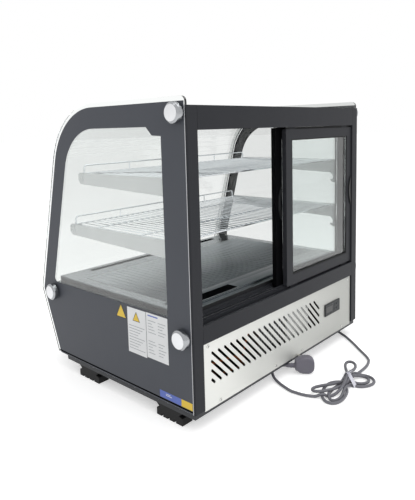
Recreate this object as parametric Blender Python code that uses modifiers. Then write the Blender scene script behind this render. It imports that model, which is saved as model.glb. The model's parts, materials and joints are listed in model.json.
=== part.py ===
"""Countertop refrigerated display case: curved glass front, two sliding rear doors, machinery in the base.

Run with: blender --background --python part.py
Metres, +Z up.  The origin is on the floor, under the middle of the case.  Customers stand on the -Y side.
The staff reach in through the sliding doors on the +Y side, where the steel panel and the controller are too.
"""

import math

import bmesh
import bpy
from mathutils import Matrix, Vector

# ---------------------------------------------------------------- driving sizes
WIDTH = 0.702            # over the outer faces of the two side glasses
DEPTH = 0.568            # nose of the side glass to the rear face of the frame
HEIGHT = 0.687           # floor to the top edge of the side glass
GLASS = 0.006            # side and front glass
GAP = 0.0003             # running and seating gap between touching pieces

FRONT_TILT = math.radians(14.8)    # lean of the front glass from upright
LOWER_TILT = math.radians(21.4)    # lean of the panel under the nose
NOSE_Z = 0.207
ARC_R = 0.177            # bend between the top and the front edge of the side glass
CORNER_R = 0.012
NOSE_R = 0.006
GLASS_INSET = 0.018      # bent front glass, inside the edge of the side glass
PANEL_INSET = 0.010      # front panel and side sheets, inside the edge of the side glass

FOOT_H = 0.028
FOOT_SIZE = (0.030, 0.080)
FOOT_EDGE = 0.005        # feet, inside the side glass face
FOOT_REAR_Y = 0.200
FOOT_FRONT_Y = -0.093

PAN_H = 0.013
PAN_WALL = 0.0015
PAN_FRONT_Y = -0.186
SHEET = 0.003            # side sheets
PANEL_T = 0.002          # front lower panel
PANEL_TOP = 0.2165       # ledge behind the nose
GLASS_FOOT = 0.0003      # bent glass, over that ledge

POST_W = 0.030           # width of a rear post, seen from behind
FRAME_Z = HEIGHT - GLASS_INSET     # top of the rear frame
HEADER_H = 0.0482
FRAME_DEPTH = 0.0475     # rear frame, front to back
FLANGE = 0.004           # rear face of the frame, behind the side glass
DOORWAY_Z = (0.228, FRAME_Z - HEADER_H)
SILL_Z = 0.183
SILL_STAND = (0.0049, 0.0034)      # upstand and rib of the sill, over its land
SILL_LIP = 0.0049        # rear lip of the sill, under its land

DOOR_W = 0.330
DOOR_T = 0.012
DOOR_RECESS = 0.004      # outer door, behind the rear face of the frame
DOOR_SPACE = 0.006       # between the two doors
STILE = 0.0255
TOP_RAIL = 0.024
DOOR_STOP = 0.0005       # outer door at rest, off the right post
INNER_DOOR_SHIFT = 0.0189    # inner door at rest, left of the outer one
OUTER_DOOR_LEFT = DOOR_W + DOOR_STOP - (WIDTH / 2 - POST_W)
INNER_DOOR_LEFT = OUTER_DOOR_LEFT + INNER_DOOR_SHIFT
DOOR_TOP = DOORWAY_Z[1] - 0.0053
INNER_DOOR_TOP = DOORWAY_Z[1] - 0.0013
PULL = (0.011, 0.0033, 0.080)      # width, thickness and height of a finger pull
PULL_SHARE = 0.53        # height of a pull's middle, as a share of the doorway
TONGUE_T = 0.0044        # guide tongues above and below a door
TONGUE_W = 0.030
GROOVE_T = 0.0054
GROOVE_DEPTH = 0.0090
PANE = 0.004

TUB_WALL = 0.015
TUB_TOP = 0.2233
WELL_Z = 0.080           # underside of the deep front well
LEDGE_Z = 0.186          # underside of the shallow rear part
WELL_REAR_Y = 0.030
DECK_TOP = 0.245
DECK_SHEET = 0.0015
DECK_HALF = 0.330
DECK_Y = (-0.2187, 0.2225)
AIR_SLOT_Y = (-0.204, -0.186)
AIR_SLOT_HALF = 0.250
GRILLE_TOP = 0.240
GRILLE_HALF = 0.317
GRILLE_TEETH = 20
GRILLE_BACK = 0.003

SHELF_SHARE = {"upper": 0.7264, "lower": 0.3744}     # shelf height, as a share of the room over the deck
SHELF_Z = {level: DECK_TOP + share * (DOORWAY_Z[1] - DECK_TOP) for level, share in SHELF_SHARE.items()}
SHELF_FRONT_Y = {"upper": -0.112, "lower": -0.160}
SHELF_REAR_Y = 0.214
SHELF_HALF = 0.318
SHELF_T = 0.004
SHELF_PITCH = 0.020      # coarse stand-in spacing of the fine wires
SHELF_BAR = 0.004
RAIL_H = 0.020
RAIL_R = 0.002
BRACKET_T = 0.002
BRACKET_X = 0.3235
BRACKET_DEPTH = (0.028, 0.040)     # at the front and at the rear
BRACKET_NOSE = 0.0015    # bracket, in front of its shelf
BRACKET_FLANGE = (0.0135, 0.0015)  # width and thickness of the flange under the shelf
BRACKET_RISE = 0.001     # bracket, over its shelf
UPRIGHT_DEPTH = 0.0133
UPRIGHT_W = 0.013
LAMP = (0.600, 0.022, 0.018)       # lamp bar
LAMP_DROP = 0.013        # lamp bar, under the top of the frame

STEEL_SIDE = 0.003       # steel panel, inside the rear posts
STEEL_HALF = WIDTH / 2 - POST_W - STEEL_SIDE
STEEL_Z = (0.035, 0.1815)
STEEL_Y = 0.2805         # rear face of the steel panel
STEEL_T = 0.0015
VENT_X = (-0.142, 0.294)
VENT_Z = (0.089, 0.156)
VENT_PITCH = 0.0204
VENT_W = 0.006
VENT_START = 0.2917      # top of the first whole slot

CONTROL_X = (-0.252, -0.171)
CONTROL_Z = (0.098, 0.131)
CONTROL_DEPTH = 0.058
CONTROL_INSET = 0.0045   # cut-out in the steel panel, inside the bezel
BEZEL_T = 0.0026
BUTTON = (0.0080, 0.0022, 0.0050)
BUTTON_TRAVEL = 0.0010
BUTTON_STAND = 0.0008    # button face, out from the bezel
BUTTON_CLEAR = 0.0004
DISPLAY = (0.034, 0.0010, 0.017)
DISPLAY_ASIDE = 0.0170   # display, off the middle of the controller
BUTTON_ASIDE = (0.0125, 0.0255)
BUTTON_UP = (0.0062, -0.0062)

KNOB_R = 0.021
KNOB_H = 0.0177
KNOB_YZ = {"top_rear": (0.258, HEIGHT - 0.032), "low_rear": (0.257, 0.200), "low_front": (-0.219, 0.208)}

CONDENSER = ((0.000, 0.120), (0.236, 0.270), 0.165)       # spans in x and y, and top
CONDENSER_FINS = 12
EVAPORATOR = ((-0.270, 0.080), (-0.150, -0.075), 0.190)
EVAPORATOR_FINS = 16
CONDENSER_FAN = (0.060, 0.2225, 0.120)       # middle in x and y, and size
EVAPORATOR_FAN = (0.160, -0.110, 0.092)
BLADES = 5
FAN_DEPTH = 0.025
WIRING_BOX = ((-0.112, -0.008), (0.215, 0.266), 0.160)
COMPRESSOR_XY = (0.235, 0.150)
COMPRESSOR_R = 0.062
COMPRESSOR_H = 0.116

CORD_R = 0.0035
FLOOR_Z = 0.0038         # centre of a cord that lies on the floor
HANK_CENTRE = (-0.022, 0.4235)
HANK_HALF = (0.1035, 0.0535)
HANK_H = 0.020
GLAND_XY = (-0.306, 0.180)
GLAND_Z = 0.0165
PLUG_CENTRE = (-0.0330, 0.3015)
PLUG_HEADING = math.radians(128.3)
PLUG_HALF = 0.025
PLUG_H = 0.024
SLEEVE = 0.022

# ---------------------------------------------------------------- derived places
HALF = WIDTH / 2
INNER_HALF = HALF - GLASS                    # inner face of a side glass
REAR_Y = DEPTH / 2
SIDE_REAR_Y = REAR_Y - FLANGE - GAP          # rear edge of the side glass
FRAME_FRONT_Y = REAR_Y - FRAME_DEPTH
PAN_TOP = FOOT_H + PAN_H
SIDE_Z = PAN_TOP + GAP
DOORWAY_HALF = HALF - POST_W
half_turn = (FRONT_TILT + LOWER_TILT) / 2
NOSE_Y = -DEPTH / 2 - NOSE_R * (1 / math.cos(half_turn) - 1)     # sharp corner, before it is rounded
OUTER_DOOR_Y = REAR_Y - DOOR_RECESS - DOOR_T / 2
INNER_DOOR_Y = OUTER_DOOR_Y - DOOR_T - DOOR_SPACE
SHEET_IN = INNER_HALF - GAP - SHEET          # inner face of a side sheet
PLUG_AXIS = Vector((math.cos(PLUG_HEADING), math.sin(PLUG_HEADING), 0))

# ---------------------------------------------------------------- the scene
for old in list(bpy.data.objects):
    bpy.data.objects.remove(old, do_unlink=True)

PARTS = bpy.data.collections.new("display_case")
TOOLS = bpy.data.collections.new("cutters")
for group in (PARTS, TOOLS):
    bpy.context.scene.collection.children.link(group)


def material(name, colour, roughness, metallic=0.0, alpha=1.0):
    made = bpy.data.materials.new(name)
    made.use_nodes = True
    shader = made.node_tree.nodes["Principled BSDF"]
    shader.inputs["Base Color"].default_value = (*colour, 1)
    shader.inputs["Roughness"].default_value = roughness
    shader.inputs["Metallic"].default_value = metallic
    shader.inputs["Alpha"].default_value = alpha
    return made


GLAZING = material("float_glass", (0.85, 0.9, 0.9), 0.02, 0.0, 0.3)
FRAME_PAINT = material("black_painted_aluminium", (0.06, 0.06, 0.065), 0.4)
BODY_PAINT = material("black_painted_steel", (0.08, 0.085, 0.1), 0.4)
STEEL = material("polished_stainless", (0.6, 0.6, 0.58), 0.2, 1.0)
CHROME = material("chrome", (0.75, 0.75, 0.76), 0.1, 1.0)
SHEET_METAL = material("galvanised_sheet", (0.45, 0.47, 0.48), 0.4, 1.0)
WHITE_PAINT = material("white_painted_steel", (0.75, 0.77, 0.78), 0.45)
BLACK_PLASTIC = material("black_moulded_plastic", (0.03, 0.03, 0.03), 0.5)
GREY_PLASTIC = material("grey_moulded_plastic", (0.1, 0.11, 0.11), 0.5)
WHITE_PLASTIC = material("white_moulded_plastic", (0.8, 0.8, 0.8), 0.5)
RUBBER = material("black_rubber", (0.02, 0.02, 0.02), 0.8)
FOAM_LINER = material("liner_plastic", (0.6, 0.62, 0.63), 0.5)
FINS = material("aluminium_fins", (0.55, 0.56, 0.57), 0.4, 1.0)
COMPRESSOR_PAINT = material("black_enamelled_steel", (0.02, 0.02, 0.02), 0.5)
CORD_SHEATH = material("grey_cord_sheath", (0.1, 0.1, 0.11), 0.55)


# ---------------------------------------------------------------- modelling helpers
def put(data, name, paint, place=(0, 0, 0), turn=(0, 0, 0)):
    """A new object of its own in the parts collection."""
    made = bpy.data.objects.new(name, data)
    made.location = place
    made.rotation_euler = turn
    if paint:
        data.materials.append(paint)
    PARTS.objects.link(made)
    return made


def tool(made):
    """Turns an object into a hidden cutter or joining shape."""
    PARTS.objects.unlink(made)
    TOOLS.objects.link(made)
    made.hide_render = True
    made.display_type = "WIRE"
    return made


def bevelled(made, width, segments=2):
    bevel = made.modifiers.new("Bevel", "BEVEL")
    bevel.width = width
    bevel.segments = segments
    bevel.limit_method = "ANGLE"
    return made


def box(name, low, high, paint=None, edge=0.0):
    """A block between two corners, with its origin in its middle."""
    low, high = Vector(low), Vector(high)
    mesh = bpy.data.meshes.new(name)
    shape = bmesh.new()
    bmesh.ops.create_cube(shape, size=1)
    bmesh.ops.scale(shape, vec=high - low, verts=shape.verts)
    shape.to_mesh(mesh)
    shape.free()
    made = put(mesh, name, paint, (low + high) / 2)
    return bevelled(made, edge) if edge else made


AXIS_TURN = {"x": (0, math.pi / 2, 0), "y": (-math.pi / 2, 0, 0), "z": (0, 0, 0)}


def round_bar(name, axis, middle, radius, length, paint=None, end_radius=None, sides=24):
    """A cylinder, or a cone where end_radius is given, whose end lies towards plus the axis."""
    mesh = bpy.data.meshes.new(name)
    shape = bmesh.new()
    far = radius if end_radius is None else end_radius
    bmesh.ops.create_cone(shape, cap_ends=True, segments=sides, radius1=radius, radius2=far, depth=length)
    shape.to_mesh(mesh)
    shape.free()
    mesh.shade_smooth()
    mesh.set_sharp_from_angle(angle=math.radians(40))
    return put(mesh, name, paint, middle, AXIS_TURN[axis])


OUTLINE_TURN = {"x": (math.pi / 2, 0, math.pi / 2), "y": (math.pi / 2, 0, 0), "z": (0, 0, 0)}


def prism(name, axis, start, end, outline, paint=None, holes=()):
    """An outline, with holes, swept straight along an axis: YZ points along x, XZ along y, XY along z."""
    curve = bpy.data.curves.new(name, "CURVE")
    curve.dimensions = "2D"
    curve.fill_mode = "BOTH"
    curve.extrude = (end - start) / 2
    for loop in (outline, *holes):
        spline = curve.splines.new("POLY")
        spline.points.add(len(loop) - 1)
        for point, (u, v) in zip(spline.points, loop):
            point.co = (u, v, 0, 1)
        spline.use_cyclic_u = True
    middle = (start + end) / 2
    place = {"x": (middle, 0, 0), "y": (0, middle, 0), "z": (0, 0, middle)}[axis]
    return put(curve, name, paint, place, OUTLINE_TURN[axis])


def meshed(made):
    """The same piece as a welded mesh, so that it can be cut or joined."""
    bpy.context.view_layer.update()
    name = made.name
    ready = made.evaluated_get(bpy.context.evaluated_depsgraph_get())
    mesh = bpy.data.meshes.new_from_object(ready)
    shape = bmesh.new()
    shape.from_mesh(mesh)
    bmesh.ops.remove_doubles(shape, verts=shape.verts, dist=0.00001)
    shape.to_mesh(mesh)
    shape.free()
    place = made.matrix_world.copy()
    bpy.data.objects.remove(made)
    fresh = bpy.data.objects.new(name, mesh)
    fresh.matrix_world = place
    PARTS.objects.link(fresh)
    return fresh


def combine(made, other, operation):
    """Joins another shape to a piece (UNION) or cuts it away (DIFFERENCE)."""
    change = made.modifiers.new(operation.title(), "BOOLEAN")
    change.operation = operation
    change.object = tool(other)
    return made


def wire(name, points, radius, paint=None, resolution=2):
    """A round tube with closed ends through a list of points."""
    curve = bpy.data.curves.new(name, "CURVE")
    curve.dimensions = "3D"
    curve.bevel_depth = radius
    curve.bevel_resolution = resolution
    curve.use_fill_caps = True
    spline = curve.splines.new("POLY")
    spline.points.add(len(points) - 1)
    for point, place in zip(spline.points, points):
        point.co = (*place, 1)
    return put(curve, name, paint)


def held_by(empty_name, place, pieces):
    """Hangs pieces on an empty that stands on their joint's axis."""
    empty = bpy.data.objects.new(empty_name, None)
    empty.location = place
    PARTS.objects.link(empty)
    for piece in pieces:
        piece.parent = empty
        piece.matrix_parent_inverse = Matrix.Translation(place).inverted()


def rounded(corners, radii, steps=8, closed=True):
    """Replaces each corner that has a radius by an arc."""
    path = []
    count = len(corners)
    for i, (corner, radius) in enumerate(zip(corners, radii)):
        here = Vector(corner)
        if radius <= 0 or (not closed and i in (0, count - 1)):
            path.append(tuple(here))
            continue
        before = (Vector(corners[i - 1]) - here).normalized()
        after = (Vector(corners[(i + 1) % count]) - here).normalized()
        angle = before.angle(after)
        middle = here + (before + after).normalized() * (radius / math.sin(angle / 2))
        first = here + before * (radius / math.tan(angle / 2)) - middle
        sweep = math.pi - angle
        sign = 1 if before.x * after.y - before.y * after.x < 0 else -1
        bend = max(2, round(steps * sweep / (math.pi / 2)))
        for k in range(bend + 1):
            spin = Matrix.Rotation(sign * sweep * k / bend, 2)
            path.append(tuple(middle + spin @ first))
    return path


def rectangle(u0, u1, v0, v1):
    return [(u0, v0), (u1, v0), (u1, v1), (u0, v1)]


def circle(u, v, radius, sides=24):
    return [(u + radius * math.cos(math.tau * k / sides), v + radius * math.sin(math.tau * k / sides))
            for k in range(sides)]


def smooth_route(points, step):
    """Points a step apart along a smooth curve through the given ones."""
    ends = [2 * Vector(points[0]) - Vector(points[1]), 2 * Vector(points[-1]) - Vector(points[-2])]
    line = [ends[0], *[Vector(p) for p in points], ends[1]]
    fine = []
    for a, b, c, d in zip(line, line[1:], line[2:], line[3:]):
        for k in range(24):
            t = k / 24
            fine.append(0.5 * (2 * b + (c - a) * t + (2 * a - 5 * b + 4 * c - d) * t * t
                               + (3 * b - a - 3 * c + d) * t ** 3))
    fine.append(line[-2])
    total = sum((q - p).length for p, q in zip(fine, fine[1:]))
    count = max(2, round(total / step))
    spaced, walked, target = [fine[0]], 0.0, total / count
    for p, q in zip(fine, fine[1:]):
        length = (q - p).length
        while length > 0 and walked + length >= target - 1e-9 and len(spaced) < count:
            spaced.append(p.lerp(q, (target - walked) / length))
            target += total / count
        walked += length
    spaced.append(fine[-1])
    return spaced


# ---------------------------------------------------------------- the side profile
def slope_y(z, inset=0.0):
    """The leaning front line of the side glass, moved inwards by inset."""
    return NOSE_Y + (z - NOSE_Z) * math.tan(FRONT_TILT) + inset / math.cos(FRONT_TILT)


def under_y(z, inset=0.0):
    """The line under the nose, moved inwards by inset."""
    return NOSE_Y + (NOSE_Z - z) * math.tan(LOWER_TILT) + inset / math.cos(LOWER_TILT)


def nose_corner(inset=0.0):
    """Where the two lines meet."""
    rise = inset * (1 / math.cos(LOWER_TILT) - 1 / math.cos(FRONT_TILT))
    z = NOSE_Z + rise / (math.tan(FRONT_TILT) + math.tan(LOWER_TILT))
    return slope_y(z, inset), z


# ---------------------------------------------------------------- base
def base_pan():
    """A folded steel tray that carries the machinery and stands on the feet."""
    half = INNER_HALF + PAN_WALL
    low = (-half, PAN_FRONT_Y, FOOT_H)
    high = (half, STEEL_Y - STEEL_T - GAP, PAN_TOP)
    made = box("base_pan", low, high, SHEET_METAL)
    shape = bmesh.new()
    shape.from_mesh(made.data)
    shape.faces.ensure_lookup_table()
    top = [face for face in shape.faces if face.normal.z > 0.5]
    bmesh.ops.delete(shape, geom=top, context="FACES")
    shape.to_mesh(made.data)
    shape.free()
    wall = made.modifiers.new("Wall", "SOLIDIFY")
    wall.thickness = PAN_WALL
    wall.offset = -1
    return made


def foot(name, side, y):
    """A ribbed rubber block whose neck flares up to the tray."""
    wide, long = FOOT_SIZE
    top = FOOT_H - GAP
    ribs = 4
    pitch = long / ribs
    bottom = []
    for k in range(ribs):
        left = y - long / 2 + k * pitch
        bottom += [(left, 0.0), (left + pitch * 0.72, 0.0)]
        if k < ribs - 1:
            bottom += [(left + pitch * 0.72, 0.005), (left + pitch, 0.005)]
    bottom[-1] = (y + long / 2, 0.0)
    neck = long * 0.36
    outline = bottom + [(y + long / 2, 0.016), (y + neck, 0.019), (y + long / 2, top),
                        (y - long / 2, top), (y - neck, 0.019), (y - long / 2, 0.016)]
    outer = side * (HALF - FOOT_EDGE)
    inner = outer - side * wide
    return prism(name, "x", min(outer, inner), max(outer, inner), outline, RUBBER)


# ---------------------------------------------------------------- casing
def side_glass(name, side):
    """A full plate of glass with the curved front corner."""
    top_y = slope_y(HEIGHT)
    corners = [(SIDE_REAR_Y, SIDE_Z), (SIDE_REAR_Y, HEIGHT), (top_y, HEIGHT),
               nose_corner(), (under_y(SIDE_Z), SIDE_Z)]
    outline = rounded(corners, (0.002, CORNER_R, ARC_R, NOSE_R, NOSE_R), 12)
    edges = sorted((side * INNER_HALF, side * HALF))
    return prism(name, "x", *edges, outline, GLAZING)


def side_sheet(name, side):
    """The painted steel side of the base, behind the printed part of the glass."""
    low, high = SIDE_Z + GAP, DOORWAY_Z[0]
    rear = FRAME_FRONT_Y - GAP
    outline = [(rear, low), (rear, high), (slope_y(high, PANEL_INSET), high),
               nose_corner(PANEL_INSET), (under_y(low, PANEL_INSET), low)]
    edges = sorted((side * SHEET_IN, side * (SHEET_IN + SHEET)))
    return prism(name, "x", *edges, outline, BODY_PAINT)


def front_lower_panel():
    """A folded sheet: a flange over the tray, the slope up to the nose, and the ledge under the glass."""
    foot_z = PAN_TOP + GAP
    ledge_z = PANEL_TOP
    ledge_y = -0.246

    def path(inset, down, up):
        return rounded([(-0.165, foot_z + up), (under_y(foot_z + up, inset), foot_z + up),
                        nose_corner(inset), (slope_y(ledge_z - down, inset), ledge_z - down),
                        (ledge_y, ledge_z - down)],
                       (0, 0.003, NOSE_R, 0.002, 0), 4, closed=False)

    outer = path(PANEL_INSET, 0.0, 0.0)
    inner = path(PANEL_INSET + PANEL_T, PANEL_T, PANEL_T)
    half = SHEET_IN - GAP
    return prism("front_lower_panel", "x", -half, half, outer + inner[::-1], BODY_PAINT)


def front_glass():
    """One sheet of glass, bent from the sloping front over into the roof."""
    bottom = PANEL_TOP + GLASS_FOOT
    half = SHEET_IN - GAP

    def path(inset):
        top = HEIGHT - inset
        return rounded([(FRAME_FRONT_Y - GAP, top), (slope_y(top, inset), top),
                        (slope_y(bottom, inset), bottom)], (0, ARC_R - inset, 0), 14, closed=False)

    outline = path(GLASS_INSET) + path(GLASS_INSET + GLASS)[::-1]
    return prism("front_glass", "x", -half, half, outline, GLAZING)


def rear_post(name, side):
    """A black extrusion: a flange behind the edge of the side glass and a deep web beside the doors."""
    flange_y = REAR_Y - FLANGE
    web = INNER_HALF - GAP
    corners = [(DOORWAY_HALF, FRAME_FRONT_Y), (web, FRAME_FRONT_Y), (web, flange_y),
               (HALF, flange_y), (HALF, REAR_Y), (DOORWAY_HALF, REAR_Y)]
    outline = rounded(corners, (0, 0, 0, 0.0005, 0.003, 0.0005), 4)
    outline = [(side * x, y) for x, y in outline]
    if side < 0:
        outline.reverse()
    return prism(name, "z", SIDE_Z, FRAME_Z, outline, FRAME_PAINT)


def groove(y, floor, mouth):
    """Outline points of one groove, from its front wall to its rear wall."""
    return [(y - GROOVE_T / 2, mouth), (y - GROOVE_T / 2, floor),
            (y + GROOVE_T / 2, floor), (y + GROOVE_T / 2, mouth)]


def rear_header():
    """The top beam, with a groove over each door."""
    mouth = DOORWAY_Z[1]
    floor = mouth + GROOVE_DEPTH
    outline = [(FRAME_FRONT_Y, mouth), *groove(INNER_DOOR_Y, floor, mouth), *groove(OUTER_DOOR_Y, floor, mouth),
               (REAR_Y, mouth), (REAR_Y, FRAME_Z), (FRAME_FRONT_Y, FRAME_Z)]
    half = DOORWAY_HALF - GAP
    return prism("rear_header", "x", -half, half, outline, FRAME_PAINT)


def rear_sill():
    """The bottom beam, with two grooves, a rib between the doors and an upstand inside."""
    land = DOORWAY_Z[0] - GAP * 3
    floor = land - GROOVE_DEPTH
    lip = land - SILL_LIP
    upstand, crest = land + SILL_STAND[0], land + SILL_STAND[1]
    between = (OUTER_DOOR_Y + INNER_DOOR_Y) / 2
    rib = DOOR_SPACE / 2 - 0.0012
    outline = [(FRAME_FRONT_Y, SILL_Z), (FRAME_FRONT_Y, upstand), (FRAME_FRONT_Y + 0.003, upstand),
               (FRAME_FRONT_Y + 0.0045, land), *groove(INNER_DOOR_Y, floor, land),
               (between - rib, land), (between - rib, crest), (between + rib, crest),
               (between + rib, land), (OUTER_DOOR_Y - GROOVE_T / 2, land), (OUTER_DOOR_Y - GROOVE_T / 2, floor),
               (OUTER_DOOR_Y + GROOVE_T / 2, floor), (OUTER_DOOR_Y + GROOVE_T / 2, lip),
               (REAR_Y, lip), (REAR_Y, SILL_Z)]
    half = DOORWAY_HALF - GAP
    return prism("rear_sill", "x", -half, half, outline, FRAME_PAINT)


def slanted_slot(top_x):
    """The outline of one 45 degree slot, clipped at the sides of the vent field, or None."""
    run = VENT_Z[1] - VENT_Z[0]
    low = max(0.0, top_x - VENT_X[1])
    high = min(run, top_x - VENT_X[0])
    if high - low < VENT_W:
        return None
    start = Vector((top_x - low, VENT_Z[1] - low))
    end = Vector((top_x - high, VENT_Z[1] - high))
    along = (end - start).normalized()
    across = Vector((-along.y, along.x)) * (VENT_W / 2)
    outline = []
    for tip, sign in ((start, -1), (end, 1)):
        for k in range(5):
            spin = Matrix.Rotation(math.pi * k / 4, 2)
            outline.append(tuple(tip + spin @ (across * sign * -1)))
    return outline


def rear_panel():
    """The stainless service panel, with its vents and the hole for the controller."""
    holes = []
    first = VENT_START + 3 * VENT_PITCH
    for k in range(26):
        slot = slanted_slot(first - k * VENT_PITCH)
        if slot:
            holes.append(slot)
    inset = CONTROL_INSET
    holes.append(rectangle(CONTROL_X[0] + inset, CONTROL_X[1] - inset,
                           CONTROL_Z[0] + inset / 2, CONTROL_Z[1] - inset / 2))
    outline = rectangle(-STEEL_HALF, STEEL_HALF, *STEEL_Z)
    return prism("rear_steel_panel", "y", STEEL_Y - STEEL_T, STEEL_Y, outline, STEEL, holes)


def knob(name, side, place):
    """A wide cap that clamps the side glass; its rim is rounded."""
    y, z = place
    x = side * (HALF + GAP + KNOB_H / 2)
    made = round_bar(name, "x", (x, y, z), KNOB_R, KNOB_H, CHROME, sides=28)
    if side < 0:
        made.rotation_euler = (0, -math.pi / 2, 0)
    bevel = made.modifiers.new("Rim", "BEVEL")
    bevel.width = 0.004
    bevel.segments = 3
    bevel.limit_method = "ANGLE"
    return made


# ---------------------------------------------------------------- cold space
def insulated_tub():
    """The foamed liner: a deep well at the front for the evaporator, a shallow part over the machinery."""
    rear = FRAME_FRONT_Y - 2 * GAP
    wall = TUB_WALL
    outer = [(-0.240, TUB_TOP), (-0.240, 0.205), (-0.203, WELL_Z), (WELL_REAR_Y, WELL_Z),
             (WELL_REAR_Y, LEDGE_Z), (rear, LEDGE_Z), (rear, TUB_TOP)]
    hollow = [(-0.217, TUB_TOP + wall), (-0.217, 0.205), (-0.190, WELL_Z + wall),
              (WELL_REAR_Y - wall, WELL_Z + wall), (WELL_REAR_Y - wall, LEDGE_Z + wall),
              (rear - wall, LEDGE_Z + wall), (rear - wall, TUB_TOP + wall)]
    half = SHEET_IN - GAP
    made = meshed(prism("insulated_tub", "x", -half, half, outer, FOAM_LINER))
    inside = meshed(prism("tub_hollow", "x", wall - half, half - wall, hollow))
    return combine(made, inside, "DIFFERENCE")


def deck_tray():
    """The pressed deck under the goods, with an air slot near the front."""
    low = (-DECK_HALF, DECK_Y[0], TUB_TOP + GAP)
    high = (DECK_HALF, DECK_Y[1], DECK_TOP)
    made = box("deck_tray", low, high, SHEET_METAL)
    inside = box("deck_underside", (low[0] + DECK_SHEET, low[1] + DECK_SHEET, low[2] - 0.01),
                 (high[0] - DECK_SHEET, high[1] - DECK_SHEET, high[2] - DECK_SHEET))
    slot = box("deck_slot", (-AIR_SLOT_HALF, AIR_SLOT_Y[0], DECK_TOP - 0.01),
               (AIR_SLOT_HALF, AIR_SLOT_Y[1], DECK_TOP + 0.01))
    combine(made, inside, "DIFFERENCE")
    return combine(made, slot, "DIFFERENCE")


def return_grille():
    """A black finned strip behind the deck, through which the air goes back."""
    front = DECK_Y[1] + GAP
    rear = FRAME_FRONT_Y - GAP
    inner = rear - GRILLE_BACK
    half = GRILLE_HALF
    tooth_share = 0.3
    pitch = 2 * half / (GRILLE_TEETH + tooth_share)
    outline = [(-half, front)]
    for k in range(GRILLE_TEETH):
        left = -half + k * pitch
        tooth = left + pitch * tooth_share
        outline += [(tooth, front), (tooth, inner), (left + pitch, inner), (left + pitch, front)]
    outline += [(half, front), (half, rear), (-half, rear)]
    return prism("return_grille", "z", TUB_TOP + GAP, GRILLE_TOP, outline, BLACK_PLASTIC)


def upright(name, side):
    """A slotted strip that carries the brackets, fixed to the rear post."""
    rear = FRAME_FRONT_Y - GAP
    low, high = DECK_TOP + GAP, DOORWAY_Z[1] - GAP
    edges = sorted((side * BRACKET_X, side * (BRACKET_X + UPRIGHT_W)))
    return box(name, (edges[0], rear - UPRIGHT_DEPTH, low), (edges[1], rear, high), WHITE_PAINT)


def bracket(name, side, level):
    """A tapered plate with an inward flange that the shelf lies on."""
    under = SHELF_Z[level] - GAP
    top = SHELF_Z[level] + SHELF_T + BRACKET_RISE
    front = SHELF_FRONT_Y[level] - BRACKET_NOSE
    rear = FRAME_FRONT_Y - 2 * GAP - UPRIGHT_DEPTH
    corners = [(front, top), (front, top - BRACKET_DEPTH[0]), (rear, top - BRACKET_DEPTH[1]), (rear, top)]
    outline = rounded(corners, (0.002, 0.006, 0.004, 0), 3)
    edges = sorted((side * BRACKET_X, side * (BRACKET_X + BRACKET_T)))
    made = meshed(prism(name, "x", *edges, outline, WHITE_PAINT))
    inner, outer = side * (BRACKET_X - BRACKET_FLANGE[0]), side * (BRACKET_X + BRACKET_T / 2)
    flange = box(name + "_flange", (min(inner, outer), front + 0.004, under - BRACKET_FLANGE[1]),
                 (max(inner, outer), rear - 0.004, under))
    return combine(made, flange, "UNION")


def shelf(level):
    """A wire shelf with a raised rail along its front edge."""
    low, front, rear = SHELF_Z[level], SHELF_FRONT_Y[level], SHELF_REAR_Y
    columns = round(2 * SHELF_HALF / SHELF_PITCH)
    pitch = (2 * SHELF_HALF - SHELF_BAR) / columns
    rows = (front, (front + rear) / 2 - SHELF_BAR / 2, rear - SHELF_BAR)
    holes = []
    for row, after in zip(rows, rows[1:]):
        for k in range(columns):
            left = -SHELF_HALF + SHELF_BAR + k * pitch
            holes.append(rectangle(left, left + pitch - SHELF_BAR, row + SHELF_BAR, after))
    outline = rectangle(-SHELF_HALF, SHELF_HALF, front, rear)
    made = meshed(prism(level + "_shelf", "z", low, low + SHELF_T, outline, CHROME, holes))
    end = SHELF_HALF - RAIL_R - 0.003
    middle = low + SHELF_T / 2
    top = middle + RAIL_H
    y = front + SHELF_BAR / 2
    turn = 0.008
    rail_path = rounded([(-end, middle), (-end, top), (end, top), (end, middle)], (0, turn, turn, 0), 4, False)
    rail = meshed(wire(level + "_rail", [(x, y, z) for x, z in rail_path], RAIL_R))
    combine(made, rail, "UNION")
    for k, x in enumerate((-0.17, 0.17)):
        post = round_bar(f"{level}_rail_post_{k}", "z", (x, y, (middle + top) / 2), 0.0013, top - middle,
                         sides=8)
        combine(made, post, "UNION")
    return made


def led_lamp():
    """The lamp bar under the roof, fixed to the header."""
    rear = FRAME_FRONT_Y - GAP
    long, deep, high = LAMP
    top = FRAME_Z - LAMP_DROP
    return box("led_lamp", (-long / 2, rear - deep, top - high), (long / 2, rear, top), WHITE_PLASTIC, 0.003)


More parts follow.
